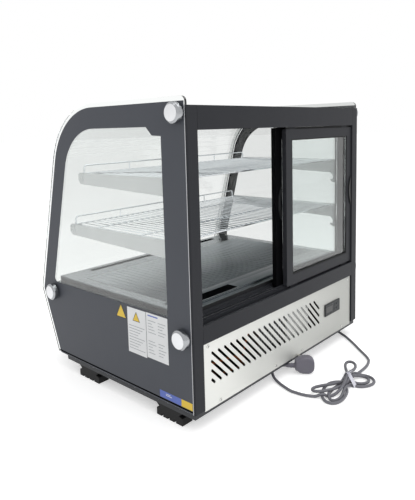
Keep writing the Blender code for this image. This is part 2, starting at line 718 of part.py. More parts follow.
# ---------------------------------------------------------------- doors
def door(name, left, y, top):
    """One sliding door: a frame with guide tongues, its pane and its finger pull."""
    bottom = DOORWAY_Z[0]
    right = left - DOOR_W
    frame_outline = rectangle(right, left, bottom, top)
    opening = rectangle(right + STILE, left - STILE, bottom + STILE, top - TOP_RAIL)
    y0, y1 = y - DOOR_T / 2, y + DOOR_T / 2
    frame = meshed(prism(name + "_frame", "y", y0, y1, frame_outline, FRAME_PAINT, [opening]))
    sill_floor = DOORWAY_Z[0] - 3 * GAP - GROOVE_DEPTH
    header_floor = DOORWAY_Z[1] + GROOVE_DEPTH
    spans = ((sill_floor + GAP, bottom + 0.002), (top - 0.002, header_floor - 0.0010))
    for k, (low, high) in enumerate(spans):
        for m, x in enumerate((right + 0.020, left - 0.020 - TONGUE_W)):
            tongue = box(f"{name}_tongue_{k}{m}", (x, y - TONGUE_T / 2, low),
                         (x + TONGUE_W, y + TONGUE_T / 2, high))
            combine(frame, tongue, "UNION")
    pane = box(name + "_pane",
               (right + STILE + GAP, y - PANE / 2, bottom + STILE + GAP),
               (left - STILE - GAP, y + PANE / 2, top - TOP_RAIL - GAP), GLAZING)
    return frame, pane


def finger_pull(name, x, face_y):
    """A crescent lip on the face of a stile."""
    wide, thick, high = PULL
    middle = DOORWAY_Z[0] + PULL_SHARE * (DOORWAY_Z[1] - DOORWAY_Z[0])
    bow = [(x - wide / 2 + wide * math.sin(math.pi * k / 10), middle - high / 2 + high * k / 10)
           for k in range(11)]
    back = [(x - wide / 2 + 0.35 * wide * math.sin(math.pi * k / 10) - 0.0004, middle - high / 2 + high * k / 10)
            for k in range(9, 0, -1)]
    return prism(name, "y", face_y + GAP, face_y + GAP + thick, bow + back, BLACK_PLASTIC)


def doors():
    """Both doors; the inner one stands behind the outer one at rest, so the left half is open."""
    face = OUTER_DOOR_Y + DOOR_T / 2
    outer = door("outer_door", OUTER_DOOR_LEFT, OUTER_DOOR_Y, DOOR_TOP)
    pull = finger_pull("outer_door_pull", OUTER_DOOR_LEFT - DOOR_W + 0.0105, face)
    held_by("outer_door", (OUTER_DOOR_LEFT - DOOR_W / 2, OUTER_DOOR_Y, DOORWAY_Z[0]), [*outer, pull])
    face = INNER_DOOR_Y + DOOR_T / 2
    inner = door("inner_door", INNER_DOOR_LEFT, INNER_DOOR_Y, INNER_DOOR_TOP)
    pull = finger_pull("inner_door_pull", INNER_DOOR_LEFT - 0.0130, face)
    held_by("inner_door", (INNER_DOOR_LEFT - DOOR_W / 2, INNER_DOOR_Y, DOORWAY_Z[0]), [*inner, pull])


# ---------------------------------------------------------------- controller
def button_places():
    """The four key centres, in two columns at the right of the display."""
    x = (CONTROL_X[0] + CONTROL_X[1]) / 2
    z = (CONTROL_Z[0] + CONTROL_Z[1]) / 2
    return [(x - across, z + up) for across in BUTTON_ASIDE for up in BUTTON_UP]


def controller():
    """A panel thermostat: a bezel on the steel, a body through the hole, a display and four keys."""
    bezel_y = STEEL_Y + GAP
    face = bezel_y + BEZEL_T
    inset = CONTROL_INSET + GAP
    made = box("controller_case", (CONTROL_X[0], bezel_y, CONTROL_Z[0]), (CONTROL_X[1], face, CONTROL_Z[1]),
               GREY_PLASTIC)
    body = box("controller_body",
               (CONTROL_X[0] + inset, bezel_y - CONTROL_DEPTH, CONTROL_Z[0] + CONTROL_INSET / 2 + GAP),
               (CONTROL_X[1] - inset, bezel_y + BEZEL_T / 2, CONTROL_Z[1] - CONTROL_INSET / 2 - GAP))
    combine(made, body, "UNION")
    wide, deep, high = DISPLAY
    x = (CONTROL_X[0] + CONTROL_X[1]) / 2 + DISPLAY_ASIDE
    z = (CONTROL_Z[0] + CONTROL_Z[1]) / 2
    seat = box("display_seat", (x - wide / 2 - GAP, face - deep - GAP, z - high / 2 - GAP),
               (x + wide / 2 + GAP, face + 0.001, z + high / 2 + GAP))
    combine(made, seat, "DIFFERENCE")
    box("controller_display", (x - wide / 2, face - deep, z - high / 2), (x + wide / 2, face, z + high / 2),
        BLACK_PLASTIC)
    wide, deep, high = BUTTON
    for k, (x, z) in enumerate(button_places()):
        front = face + BUTTON_STAND
        pocket = box(f"key_pocket_{k}",
                     (x - wide / 2 - BUTTON_CLEAR, front - deep - BUTTON_TRAVEL - GAP, z - high / 2 - BUTTON_CLEAR),
                     (x + wide / 2 + BUTTON_CLEAR, face + 0.001, z + high / 2 + BUTTON_CLEAR))
        combine(made, pocket, "DIFFERENCE")
        key = box(f"controller_key_{k + 1}", (-wide / 2, -deep, -high / 2), (wide / 2, 0, high / 2), GREY_PLASTIC)
        key.location = (x, front - deep / 2, z)


# ---------------------------------------------------------------- machinery
def compressor():
    """A welded steel can on a foot plate."""
    radius, low, high = COMPRESSOR_R, 0.004, COMPRESSOR_H
    place = (*COMPRESSOR_XY, FOOT_H + PAN_WALL + GAP)
    dome = 0.030
    profile = [(0.0, high + 0.006)]
    for k in range(5):
        angle = math.pi / 2 * k / 4
        profile.append((radius - dome + dome * math.sin(angle), high - dome * (1 - math.cos(angle))))
    profile += [(radius, low + 0.014), (radius - 0.010, low), (0.0, low)]
    mesh = bpy.data.meshes.new("compressor")
    shape = bmesh.new()
    line = [shape.verts.new((r, 0, z)) for r, z in profile]
    for a, b in zip(line, line[1:]):
        shape.edges.new((a, b))
    shape.to_mesh(mesh)
    shape.free()
    made = put(mesh, "compressor", COMPRESSOR_PAINT, place)
    turn = made.modifiers.new("Screw", "SCREW")
    turn.steps = turn.render_steps = 24
    turn.use_merge_vertices = True
    turn.merge_threshold = 0.00005
    x, y, z = place
    plate = box("compressor_plate", (x - 0.075, y - 0.045, z), (x + 0.075, y + 0.045, z + 0.006))
    return combine(made, plate, "UNION")


def finned_block(name, low, high, fins, paint):
    """A heat exchanger: a spine across its width with fins to the front and the rear."""
    x0, y0, z0 = low
    x1, y1, z1 = high
    pitch = (x1 - x0) / fins
    fin = pitch * 0.4
    middle = (y0 + y1) / 2
    front, rear = [], []
    for k in range(fins):
        left = x0 + k * pitch + (pitch - fin) / 2
        front += [(left, middle - 0.004), (left, y0), (left + fin, y0), (left + fin, middle - 0.004)]
        rear += [(left, middle + 0.004), (left, y1), (left + fin, y1), (left + fin, middle + 0.004)]
    return prism(name, "z", z0, z1, front + rear[::-1], paint)


def fan(prefix, spec, low):
    """An axial fan: a square frame with a motor on four spokes, and its rotor in front of the motor."""
    x, y, size = spec
    depth, blades = FAN_DEPTH, BLADES
    z = low + size / 2
    bore = size / 2 - 0.004
    hub = size * 0.17
    outline = rectangle(x - size / 2, x + size / 2, low, low + size)
    frame = meshed(prism(prefix + "_fan_frame", "y", y - depth / 2, y + depth / 2, outline, BLACK_PLASTIC,
                         [circle(x, z, bore)]))
    back = y - depth / 2
    motor = round_bar(prefix + "_motor", "y", (x, back + 0.0045, z), hub, 0.008, sides=20)
    combine(frame, motor, "UNION")
    for k in range(4):
        angle = math.tau * (k + 0.5) / 4
        reach = (bore + hub) / 2
        spoke = box(f"{prefix}_spoke_{k}", (-(bore - hub) / 2 - 0.003, -0.0015, -0.0025),
                    ((bore - hub) / 2 + 0.003, 0.0015, 0.0025))
        spoke.location = (x + reach * math.cos(angle), back + 0.0025, z + reach * math.sin(angle))
        spoke.rotation_euler = (0, -angle, 0)
        combine(frame, spoke, "UNION")
    start = back + 0.0085 + GAP
    thick = 0.013
    rotor = round_bar(prefix + "_fan_rotor", "y", (x, start + thick / 2, z), hub, thick, GREY_PLASTIC, sides=20)
    for k in range(blades):
        angle = math.tau * k / blades
        root, tip = hub - 0.0015, bore - 0.0020
        reach, span = (root + tip) / 2, (tip - root) / 2
        blade = box(f"{prefix}_blade_{k}", (-span, -0.0008, -0.009), (span, 0.0008, 0.009))
        spin = Matrix.Rotation(-angle, 4, "Y") @ Matrix.Rotation(math.radians(55), 4, "X")
        middle = Matrix.Translation((x + reach * math.cos(angle), start + 0.0080, z + reach * math.sin(angle)))
        blade.matrix_world = middle @ spin
        combine(rotor, blade, "UNION")


def spanned(block, low):
    """The lowest and highest corners of a block that stands at a height."""
    (x0, x1), (y0, y1), top = block
    return (x0, y0, low), (x1, y1, top)


def machinery():
    """Everything on the tray, and the evaporator and its fan in the well."""
    floor = FOOT_H + PAN_WALL + GAP
    compressor()
    finned_block("condenser", *spanned(CONDENSER, floor), CONDENSER_FINS, FINS)
    fan("condenser", CONDENSER_FAN, floor)
    box("electrical_box", *spanned(WIRING_BOX, floor), WHITE_PLASTIC, 0.002)
    well = WELL_Z + TUB_WALL + GAP
    finned_block("evaporator", *spanned(EVAPORATOR, well), EVAPORATOR_FINS, FINS)
    fan("evaporator", EVAPORATOR_FAN, well)


# ---------------------------------------------------------------- mains cord
LEAD_POINTS = [(-0.3060, 0.2123, 0.0165), (-0.3060, 0.2220, 0.0165), (-0.3060, 0.2340, 0.0136),
               (-0.3050, 0.2480, 0.0078), (-0.3005, 0.2640, 0.0043), (-0.2920, 0.2800, FLOOR_Z),
               (-0.2780, 0.2990, FLOOR_Z), (-0.2540, 0.3290, FLOOR_Z), (-0.2274, 0.3595, FLOOR_Z),
               (-0.2040, 0.3875, FLOOR_Z), (-0.1814, 0.4065, FLOOR_Z), (-0.1535, 0.4160, FLOOR_Z),
               (-0.1256, 0.4163, FLOOR_Z)]
TAIL_POINTS = [(0.0709, 0.3889, FLOOR_Z), (0.0775, 0.3745, FLOOR_Z), (0.0815, 0.3560, FLOOR_Z),
               (0.0808, 0.3350, FLOOR_Z), (0.0745, 0.3130, FLOOR_Z), (0.0665, 0.2920, FLOOR_Z),
               (0.0555, 0.2710, FLOOR_Z), (0.0419, 0.2548, 0.0041), (0.0277, 0.2488, 0.0058),
               (0.0123, 0.2506, 0.0074), (0.0040, 0.2550, 0.0080), (-0.0002, 0.2599, 0.0080),
               (-0.0037, 0.2643, 0.0080)]


def cord_gland():
    """The clamp block under the tray with its tapered sleeve."""
    x, y = GLAND_XY
    made = box("cord_gland", (x - 0.007, y - 0.006, 0.008), (x + 0.007, y + 0.008, FOOT_H - GAP), BLACK_PLASTIC)
    start = y + 0.004
    length = LEAD_POINTS[0][1] - GAP - start
    sleeve = round_bar("gland_sleeve", "y", (x, start + length / 2, GLAND_Z), 0.0068, length,
                       end_radius=0.0047, sides=16)
    return combine(made, sleeve, "UNION")


def cord_hank():
    """The tied loops of cord, as one flat block with round ends."""
    x, y = HANK_CENTRE
    long, wide = HANK_HALF
    corners = rectangle(x - long, x + long, y - wide, y + wide)
    outline = rounded(corners, (wide - 0.0001,) * 4, 6)
    return prism("cord_hank", "z", GAP, GAP + HANK_H, outline, CORD_SHEATH)


def plug():
    """A fused three-pin plug on its back, its pins up, with a tapered cord sleeve."""
    x, y = PLUG_CENTRE
    low = GAP
    half = PLUG_HALF
    mesh = bpy.data.meshes.new("plug")
    shape = bmesh.new()
    bmesh.ops.create_cube(shape, size=1)
    for vert in shape.verts:
        narrow = 0.78 if vert.co.z < 0 else 1.0
        vert.co = Vector((vert.co.x * 2 * half * narrow, vert.co.y * 2 * half * narrow,
                          (vert.co.z + 0.5) * PLUG_H))
    corners = [edge for edge in shape.edges if abs(edge.verts[0].co.z - edge.verts[1].co.z) > PLUG_H / 2]
    bmesh.ops.bevel(shape, geom=corners, offset=0.011, segments=4, affect="EDGES", profile=0.5)
    shape.to_mesh(mesh)
    shape.free()
    made = put(mesh, "plug", GREY_PLASTIC, (x, y, low), (0, 0, PLUG_HEADING))
    frame = Matrix.Translation((x, y, low)) @ Matrix.Rotation(PLUG_HEADING, 4, "Z")
    sleeve = round_bar("plug_sleeve", "x", (0, 0, 0), 0.0047, SLEEVE + 0.006, end_radius=0.0066, sides=16)
    turn = Matrix.Rotation(math.pi / 2, 4, "Y")
    sleeve.matrix_world = frame @ Matrix.Translation((-half - SLEEVE / 2 + 0.003, 0, 0.0077)) @ turn
    combine(made, sleeve, "UNION")
    for k, (along, across, size, tall) in enumerate(((0.011, 0.0, (0.004, 0.008), 0.0227),
                                                     (-0.011, 0.0111, (0.0063, 0.004), 0.0177),
                                                     (-0.011, -0.0111, (0.0063, 0.004), 0.0177))):
        pin = box(f"plug_pin_{k}", (-size[0] / 2, -size[1] / 2, -0.002), (size[0] / 2, size[1] / 2, tall))
        pin.matrix_world = frame @ Matrix.Translation((along, across, PLUG_H - 0.002 + (tall + 0.002) / 2))
        combine(made, pin, "UNION")
    return made


def mains_cord():
    """Gland, lead, tied hank, tail and plug, in the order that the current meets them."""
    cord_gland()
    wire("cord_lead", smooth_route(LEAD_POINTS, 0.009), CORD_R, CORD_SHEATH)
    cord_hank()
    wire("cord_tail", smooth_route(TAIL_POINTS, 0.009), CORD_R, CORD_SHEATH)
    plug()


# ---------------------------------------------------------------- assembly
def build():
    base_pan()
    for side, hand in ((1, "left"), (-1, "right")):
        foot(f"foot_front_{hand}", side, FOOT_FRONT_Y)
        foot(f"foot_rear_{hand}", side, FOOT_REAR_Y)
        side_glass(f"side_glass_{hand}", side)
        side_sheet(f"side_sheet_{hand}", side)
        rear_post(f"rear_post_{hand}", side)
        upright(f"shelf_upright_{hand}", side)
        for place, yz in KNOB_YZ.items():
            knob(f"glass_knob_{place}_{hand}", side, yz)
        for level in SHELF_Z:
            bracket(f"{level}_bracket_{hand}", side, level)
    front_lower_panel()
    front_glass()
    rear_header()
    rear_sill()
    rear_panel()
    insulated_tub()
    deck_tray()
    return_grille()
    for level in SHELF_Z:
        shelf(level)
    led_lamp()
    doors()
    controller()
    machinery()
    mains_cord()


build()
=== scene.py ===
# %% [markdown]
# # A countertop display case for cakes
# The case stands with its sliding doors and its steel service panel towards the viewer. Two printed side
# glasses carry a bent front glass, and the machinery is in the base. The solids come from the fixed frame.
# Each cell below gives them a finish, or adds the small pieces that the solids leave out.

import json
import math

import bmesh
import bpy
import numpy as np
from mathutils import Matrix, Vector

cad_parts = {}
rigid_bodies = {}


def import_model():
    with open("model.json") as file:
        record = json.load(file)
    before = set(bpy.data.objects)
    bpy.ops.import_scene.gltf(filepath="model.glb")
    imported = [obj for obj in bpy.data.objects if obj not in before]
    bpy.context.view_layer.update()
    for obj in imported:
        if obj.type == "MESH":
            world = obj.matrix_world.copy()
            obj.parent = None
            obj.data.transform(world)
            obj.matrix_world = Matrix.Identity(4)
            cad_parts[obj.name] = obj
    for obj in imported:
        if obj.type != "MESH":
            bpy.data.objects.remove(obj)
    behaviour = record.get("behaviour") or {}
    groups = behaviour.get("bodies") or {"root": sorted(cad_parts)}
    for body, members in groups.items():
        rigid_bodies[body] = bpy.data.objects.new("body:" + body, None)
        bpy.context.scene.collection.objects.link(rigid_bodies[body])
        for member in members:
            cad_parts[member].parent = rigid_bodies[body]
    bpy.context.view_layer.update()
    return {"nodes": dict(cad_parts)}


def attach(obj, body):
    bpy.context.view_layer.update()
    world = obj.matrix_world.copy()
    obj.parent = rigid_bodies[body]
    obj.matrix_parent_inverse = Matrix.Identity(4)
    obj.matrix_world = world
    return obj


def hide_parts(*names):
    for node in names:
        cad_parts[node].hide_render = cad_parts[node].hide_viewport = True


for old in list(bpy.data.objects):
    bpy.data.objects.remove(old, do_unlink=True)
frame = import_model()
NODES = frame["nodes"]

# %% [markdown]
# ## Working tools
# Every piece is made with the same few steps: add a simple shape, work on it in edit mode, give it a
# finish, and let it ride on its body. The helpers keep those steps short, and they leave each piece at the
# origin.


# %%
def only(*pieces):
    """Selects these pieces alone, in object mode."""
    if bpy.context.object and bpy.context.object.mode != "OBJECT":
        bpy.ops.object.mode_set(mode="OBJECT")
    bpy.ops.object.select_all(action="DESELECT")
    for made in pieces:
        made.select_set(True)
        bpy.context.view_layer.objects.active = made


def edit(made, *steps):
    """Runs edit-mode steps on the whole of one piece."""
    only(made)
    bpy.ops.object.mode_set(mode="EDIT")
    bpy.ops.mesh.select_mode(type="EDGE")
    bpy.ops.mesh.select_all(action="SELECT")
    for step in steps:
        step()
    bpy.ops.object.mode_set(mode="OBJECT")
    return made


def rounded_edges(made, width, segments=2, sharper_than=30):
    """Rounds every edge that turns by more than an angle."""

    def run():
        bpy.ops.mesh.select_all(action="DESELECT")
        bpy.ops.mesh.edges_select_sharp(sharpness=math.radians(sharper_than))
        bpy.ops.mesh.bevel(offset=width, segments=segments, affect="EDGES")

    return edit(made, run)


# %% [markdown]
# ### Simple shapes
# Blocks, bars, plates and turned parts are the raw stock that the pieces are cut and bent from.


# %%
def block(low, high, rounding=0.0, segments=2):
    """A box between two corners, with rounded edges."""
    only()
    bpy.ops.mesh.primitive_cube_add(size=1)
    made = bpy.context.object
    middle = (Vector(low) + Vector(high)) / 2
    size = Vector(high) - Vector(low)
    made.data.transform(Matrix.Translation(middle) @ Matrix.Diagonal((*size, 1)))
    if rounding:
        rounded_edges(made, rounding, segments)
    return made


def bar(start, end, radius, sides=12):
    """A round bar from one point to another."""
    only()
    start, end = Vector(start), Vector(end)
    along = end - start
    bpy.ops.mesh.primitive_cylinder_add(vertices=sides, radius=radius, depth=along.length)
    made = bpy.context.object
    turn = along.to_track_quat("Z", "Y").to_matrix().to_4x4()
    made.data.transform(Matrix.Translation((start + end) / 2) @ turn)
    return made


def bent_bar(points, radius, sides=8):
    """A round bar along a line of points, as a closed mesh."""
    curve = bpy.data.curves.new("bent_bar", "CURVE")
    curve.dimensions = "3D"
    curve.bevel_depth = radius
    curve.bevel_resolution = max(0, sides // 2 - 2)
    curve.use_fill_caps = True
    spline = curve.splines.new("POLY")
    spline.points.add(len(points) - 1)
    for spot, place in zip(spline.points, points):
        spot.co = (*place, 1)
    made = bpy.data.objects.new("bent_bar", curve)
    bpy.context.scene.collection.objects.link(made)
    only(made)
    bpy.ops.object.convert(target="MESH")
    return bpy.context.object


# %% [markdown]
# ### Plates and turned parts
# A plate is an outline with holes, drawn out to its thickness. A turned part is a profile swept about its
# axis.


# %%
def rectangle(a0, b0, a1, b1):
    """The corners of a rectangle in two of the axes, in order."""
    return [(a0, b0), (a1, b0), (a1, b1), (a0, b1)]


def plate(outline, thickness, holes=()):
    """A flat plate: outlines in its own plane are filled, then drawn out along their normal.
    Every outline is a list of 3-D points, and thickness is the step from its first face to its second."""
    mesh = bpy.data.meshes.new("plate")
    spots, edges = [], []
    for loop in (outline, *holes):
        first = len(spots)
        spots += [tuple(p) for p in loop]
        edges += [(first + k, first + (k + 1) % len(loop)) for k in range(len(loop))]
    mesh.from_pydata(spots, edges, [])
    made = bpy.data.objects.new("plate", mesh)
    bpy.context.scene.collection.objects.link(made)
    edit(
        made,
        lambda: bpy.ops.mesh.fill() if holes else bpy.ops.mesh.edge_face_add(),
        lambda: bpy.ops.mesh.extrude_region_move(TRANSFORM_OT_translate={"value": thickness}),
        lambda: bpy.ops.mesh.select_all(action="SELECT"),
        lambda: bpy.ops.mesh.normals_make_consistent(inside=False),
    )
    return made


def turned(profile, centre, axis=(1, 0, 0), steps=40):
    """A turned piece: a profile of (distance along the axis, radius) is spun round it, from end to end."""
    mesh = bpy.data.meshes.new("turned")
    mesh.from_pydata([(0, r, a) for a, r in profile], [(k, k + 1) for k in range(len(profile) - 1)], [])
    made = bpy.data.objects.new("turned", mesh)
    bpy.context.scene.collection.objects.link(made)
    edit(
        made,
        lambda: bpy.ops.mesh.spin(steps=steps, angle=math.tau, center=(0, 0, 0), axis=(0, 0, 1)),
        lambda: bpy.ops.mesh.select_all(action="SELECT"),
        lambda: bpy.ops.mesh.remove_doubles(threshold=0.00002),
        lambda: bpy.ops.mesh.normals_make_consistent(inside=False),
    )
    turn = Vector(axis).to_track_quat("Z", "Y").to_matrix().to_4x4()
    made.data.transform(Matrix.Translation(centre) @ turn)
    return made


# %% [markdown]
# ### Joining, copying and finishing
# A finished piece has its mesh at its real place, its outward normals set, and its name and body.


# %%
def joined(pieces):
    """Several pieces as one."""
    only(*pieces)
    if len(pieces) > 1:
        bpy.ops.object.join()
    return bpy.context.object


def copied(made, move=(0, 0, 0), mirror=False):
    """A copy of a piece, moved, or mirrored to the other side of the case."""
    twin = made.copy()
    twin.data = made.data.copy()
    bpy.context.scene.collection.objects.link(twin)
    if mirror:
        twin.data.transform(Matrix.Diagonal((-1, 1, 1, 1)))
        twin.data.flip_normals()
    twin.data.transform(Matrix.Translation(move))
    return twin


def piece(made, name, finish, body="root", smooth=32):
    """Names a piece, gives it its finish, and lets it ride on its body."""
    made.name = made.data.name = name
    if finish:
        made.data.materials.clear()
        made.data.materials.append(finish)
    if smooth:
        only(made)
        bpy.ops.object.shade_smooth_by_angle(angle=math.radians(smooth))
    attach(made, body)
    print(name, "faces:", len(made.data.polygons) if made.type == "MESH" else "curve")
    return made


# %% [markdown]
# ## Finishes
# A finish is a principled surface with a pattern measured in millimetres on the object. One helper adds a
# node, one starts a finish, and two lay the usual patterns: a fine relief, and a slow drift of the colour.


# %%
def linear(code):
    """A colour given as #rrggbb, as the linear values that a shader takes."""
    parts = [int(code[k : k + 2], 16) / 255 for k in (1, 3, 5)]
    return (*[c / 12.92 if c <= 0.04045 else ((c + 0.055) / 1.055) ** 2.4 for c in parts], 1)


def add(tree, kind, settings=None, links=None, **options):
    """Adds a node with its options, the values of its inputs and what they are linked from."""
    made = tree.nodes.new(kind)
    for key, value in options.items():
        setattr(made, key, value)
    for key, value in (settings or {}).items():
        made.inputs[key].default_value = value
    for key, socket in (links or {}).items():
        tree.links.new(socket, made.inputs[key])
    return made


# %% [markdown]
# ### Surfaces and their patterns
# Each surface has a Principled shader. A relief gives it its grain, and a drift gives it its slow change of
# tone.


# %%
def surface(name, colour, roughness, metallic=0.0, **more):
    """A new finish, its node tree and its shader. The names in more are sockets, with _ for a space."""
    made = bpy.data.materials.new(name)
    made.use_nodes = True
    shader = made.node_tree.nodes["Principled BSDF"]
    shader.inputs["Base Color"].default_value = linear(colour)
    shader.inputs["Roughness"].default_value = roughness
    shader.inputs["Metallic"].default_value = metallic
    for key, value in more.items():
        shader.inputs[key.replace("_", " ")].default_value = value
    return made, made.node_tree, shader


def relief(tree, shader, size, height, stretch=(1, 1, 1), roughness=None):
    """A fine relief: size and height in millimetres. Roughness is the least and most that it gives."""
    place = add(tree, "ShaderNodeTexCoord")
    scale = [1000 / size / s for s in stretch]
    mapped = add(tree, "ShaderNodeMapping", {"Scale": scale}, {"Vector": place.outputs["Object"]})
    noise = add(tree, "ShaderNodeTexNoise", {"Scale": 1.0, "Detail": 4.0}, {"Vector": mapped.outputs[0]})
    bump = add(
        tree, "ShaderNodeBump", {"Strength": 1.0, "Distance": height / 1000}, {"Height": noise.outputs[0]}
    )
    tree.links.new(bump.outputs[0], shader.inputs["Normal"])
    if roughness:
        ranged = add(
            tree,
            "ShaderNodeMapRange",
            {"From Min": 0.3, "From Max": 0.7, "To Min": roughness[0], "To Max": roughness[1]},
            {"Value": noise.outputs[0]},
        )
        tree.links.new(ranged.outputs[0], shader.inputs["Roughness"])
    return noise


def drift(tree, shader, first, second, size, stretch=(1, 1, 1)):
    """A slow change between two colours: size in millimetres."""
    place = add(tree, "ShaderNodeTexCoord")
    scale = [1000 / size / s for s in stretch]
    mapped = add(tree, "ShaderNodeMapping", {"Scale": scale}, {"Vector": place.outputs["Object"]})
    noise = add(tree, "ShaderNodeTexNoise", {"Scale": 1.0, "Detail": 3.0}, {"Vector": mapped.outputs[0]})
    mixed = add(
        tree,
        "ShaderNodeMix",
        {6: linear(first), 7: linear(second)},
        {0: noise.outputs[0]},
        data_type="RGBA",
    )
    tree.links.new(mixed.outputs[2], shader.inputs["Base Color"])
    return mixed


FINISH = {}


def paint(key, name, colour, other, roughness, grain, metallic=0.0, stretch=(1, 1, 1), **more):
    """A finish with both patterns. grain is the relief's size and height; the colour drifts towards other."""
    made, tree, shader = surface(name, colour, roughness, metallic, **more)
    drift(tree, shader, colour, other, 60, stretch)
    relief(tree, shader, *grain, stretch, (roughness * 0.85, min(1.0, roughness * 1.15)))
    FINISH[key] = made
    return made


# %% [markdown]
# ### Painted and moulded surfaces
# The frame is black anodised aluminium with a faint drawn grain along its length. The body is steel with a
# dark powder coat, whose orange peel is about a millimetre across. Mouldings have a finer spark-eroded
# texture.

# %%
paint(
    "frame", "black anodised aluminium", "#28292d", "#2c2d31", 0.48, (0.35, 0.003), stretch=(1, 1, 14),
    Specular_IOR_Level=0.15,
)
# The inner door's frame is the same anodised aluminium, painted darker and with less sheen: painted shade,
# for the shadow it stands in behind the outer door.
paint(
    "inner_frame_shaded", "black anodised aluminium, inner door, painted shade", "#0b0b0d", "#0e0e10", 0.36, (0.35, 0.003),
    stretch=(1, 1, 14), Specular_IOR_Level=0.02,
)
paint("body", "dark powder coated steel", "#2b2d31", "#2f3135", 0.42, (1.1, 0.006), Specular_IOR_Level=0.35)
paint("white", "white powder coated steel", "#f6f8f8", "#eff2f2", 0.45, (1.1, 0.006))
paint("black_plastic", "black moulded ABS", "#17181a", "#1b1c1e", 0.45, (0.25, 0.006))
paint("grey_plastic", "grey moulded ABS", "#2c2f31", "#303335", 0.42, (0.25, 0.006), Specular_IOR_Level=0.25)
paint("white_plastic", "white moulded ABS", "#eceded", "#e4e6e6", 0.35, (0.25, 0.004))
paint("rubber", "moulded neoprene rubber", "#0d0d0e", "#121213", 0.62, (0.5, 0.010), Specular_IOR_Level=0.3)
paint("liner", "foam tub with a white ABS liner", "#e3e6e7", "#dadedf", 0.5, (2.2, 0.020))
paint("compressor", "black stove enamel", "#0e0f10", "#131416", 0.3, (1.5, 0.015))
paint("sheath", "extruded PVC cord sheath", "#66666c", "#6d6d74", 0.45, (0.6, 0.006))
paint("plug", "moulded PVC plug", "#67656f", "#6e6c76", 0.45, (0.3, 0.006))
# The black gauze finish also serves as painted shadow in the gap at the foot of each side glass.
paint("gauze", "black woven gauze, also painted gap shadow", "#08090a", "#0b0c0d", 0.8, (0.5, 0.010), Specular_IOR_Level=0.0)
paint("silicone", "pale silicone bead", "#cfd0d3", "#c3c5c9", 0.4, (1.5, 0.010))
paint("tie", "white nylon tie", "#dcdce8", "#e6e6ee", 0.38, (0.8, 0.010), Transmission_Weight=0.15)
print("painted and moulded finishes:", len(FINISH))

# %% [markdown]
# ### Metals
# A brushed sheet has long fine scratches, so its relief is stretched along the way it was brushed. The
# chrome on the shelf wires is nearly smooth. Fin stock and galvanised parts are duller.

# %%
paint(
    "stainless", "brushed stainless steel sheet, with painted light", "#cdceca", "#c7c8c4", 0.5, (0.12, 0.0016), 0.6,
    (120, 1, 1),
)
paint("ribbed", "ribbed steel, satin, painted reflection and shade", "#6f7477", "#686d70", 0.34, (0.25, 0.0016), 1.0, (1, 60, 1))
paint("deck", "satin stainless steel tray", "#969c9f", "#8f9598", 0.24, (0.25, 0.0016), 1.0, (1, 60, 1))
paint("chrome", "chromed steel wire", "#e2e6e9", "#dadee1", 0.10, (2.5, 0.003), 1.0)
paint("polished", "polished aluminium", "#a5a7aa", "#9ea0a3", 0.22, (3.0, 0.003), 1.0)
paint("satin", "satin turned aluminium", "#e6e7e9", "#e0e1e3", 0.5, (0.3, 0.002), 1.0)
paint("fins", "aluminium fin stock", "#a9acad", "#9da0a2", 0.4, (1.2, 0.010), 1.0)
paint("zinc", "zinc plated screw", "#cfd0cd", "#c2c3c0", 0.25, (0.6, 0.004), 1.0)
paint("nickel", "nickel plated brass", "#c9c6bd", "#bdbab0", 0.22, (0.8, 0.004), 1.0)


def painted_light_gradient(key, axis, low, high, first, second):
    """Painted light: a slow change of a finish's colour along one axis of the case, from low to high, in
    metres, standing in for how light and reflections fall across it.
    """
    tree = FINISH[key].node_tree
    place = add(tree, "ShaderNodeTexCoord")
    along = add(tree, "ShaderNodeSeparateXYZ", links={"Vector": place.outputs["Object"]})
    share = add(
        tree, "ShaderNodeMapRange", {"From Min": low, "From Max": high}, {"Value": along.outputs[axis]}
    )
    mixed = add(
        tree, "ShaderNodeMix", {6: linear(first), 7: linear(second)}, {0: share.outputs[0]}, data_type="RGBA"
    )
    tree.links.new(mixed.outputs[2], tree.nodes["Principled BSDF"].inputs["Base Color"])


# Painted reflection and shade: the ribbed plate and the rear strip run from light at the front to dark at the
# back, for the dark reflections they show towards the rear.
painted_light_gradient("ribbed", "Y", -0.09, 0.09, "#b4b9bc", "#666b6e")
# Painted light: the steel panel runs from darker towards -X to lighter towards +X, standing in for the uneven
# light and floor reflections across it.
painted_light_gradient("stainless", "X", -0.25, 0.28, "#b2b3af", "#e4e5e1")
print("metals:", [k for k in ("stainless", "deck", "chrome", "polished", "satin", "fins")])

# %% [markdown]
# ### Glass
# The panes are toughened float glass, a little green through their edge. Toughening leaves rollers' waves
# that are a few microns high and some 60 mm apart, and these bend reflections a little.


# %%
def glazing(key, name, colour, roughness=0.0):
    """A glass finish with the faint waves of toughening."""
    made, tree, shader = surface(name, colour, roughness, IOR=1.5, Transmission_Weight=1.0)
    relief(tree, shader, 60, 0.02)
    FINISH[key] = made


glazing("glass", "toughened float glass", "#fafcfb")
# The front glass and the far side glass are tinted darker than the near glass: painted shade that dims the
# white backdrop seen through the case.
glazing("bent_glass", "bent toughened glass, tinted as painted shade", "#e2e4e3")
glazing("far_glass", "toughened float glass, tinted as painted shade", "#d8dad9")
glazing("pane", "clear float glass pane", "#f0f4f3")

# %% [markdown]
# ### The print on the side glass
# A dark ceramic enamel is screen printed on each side glass and fired in. Here it lies on the outer face,
# so its own faint relief gives it its sheen. The labels' vinyls and inks follow it.

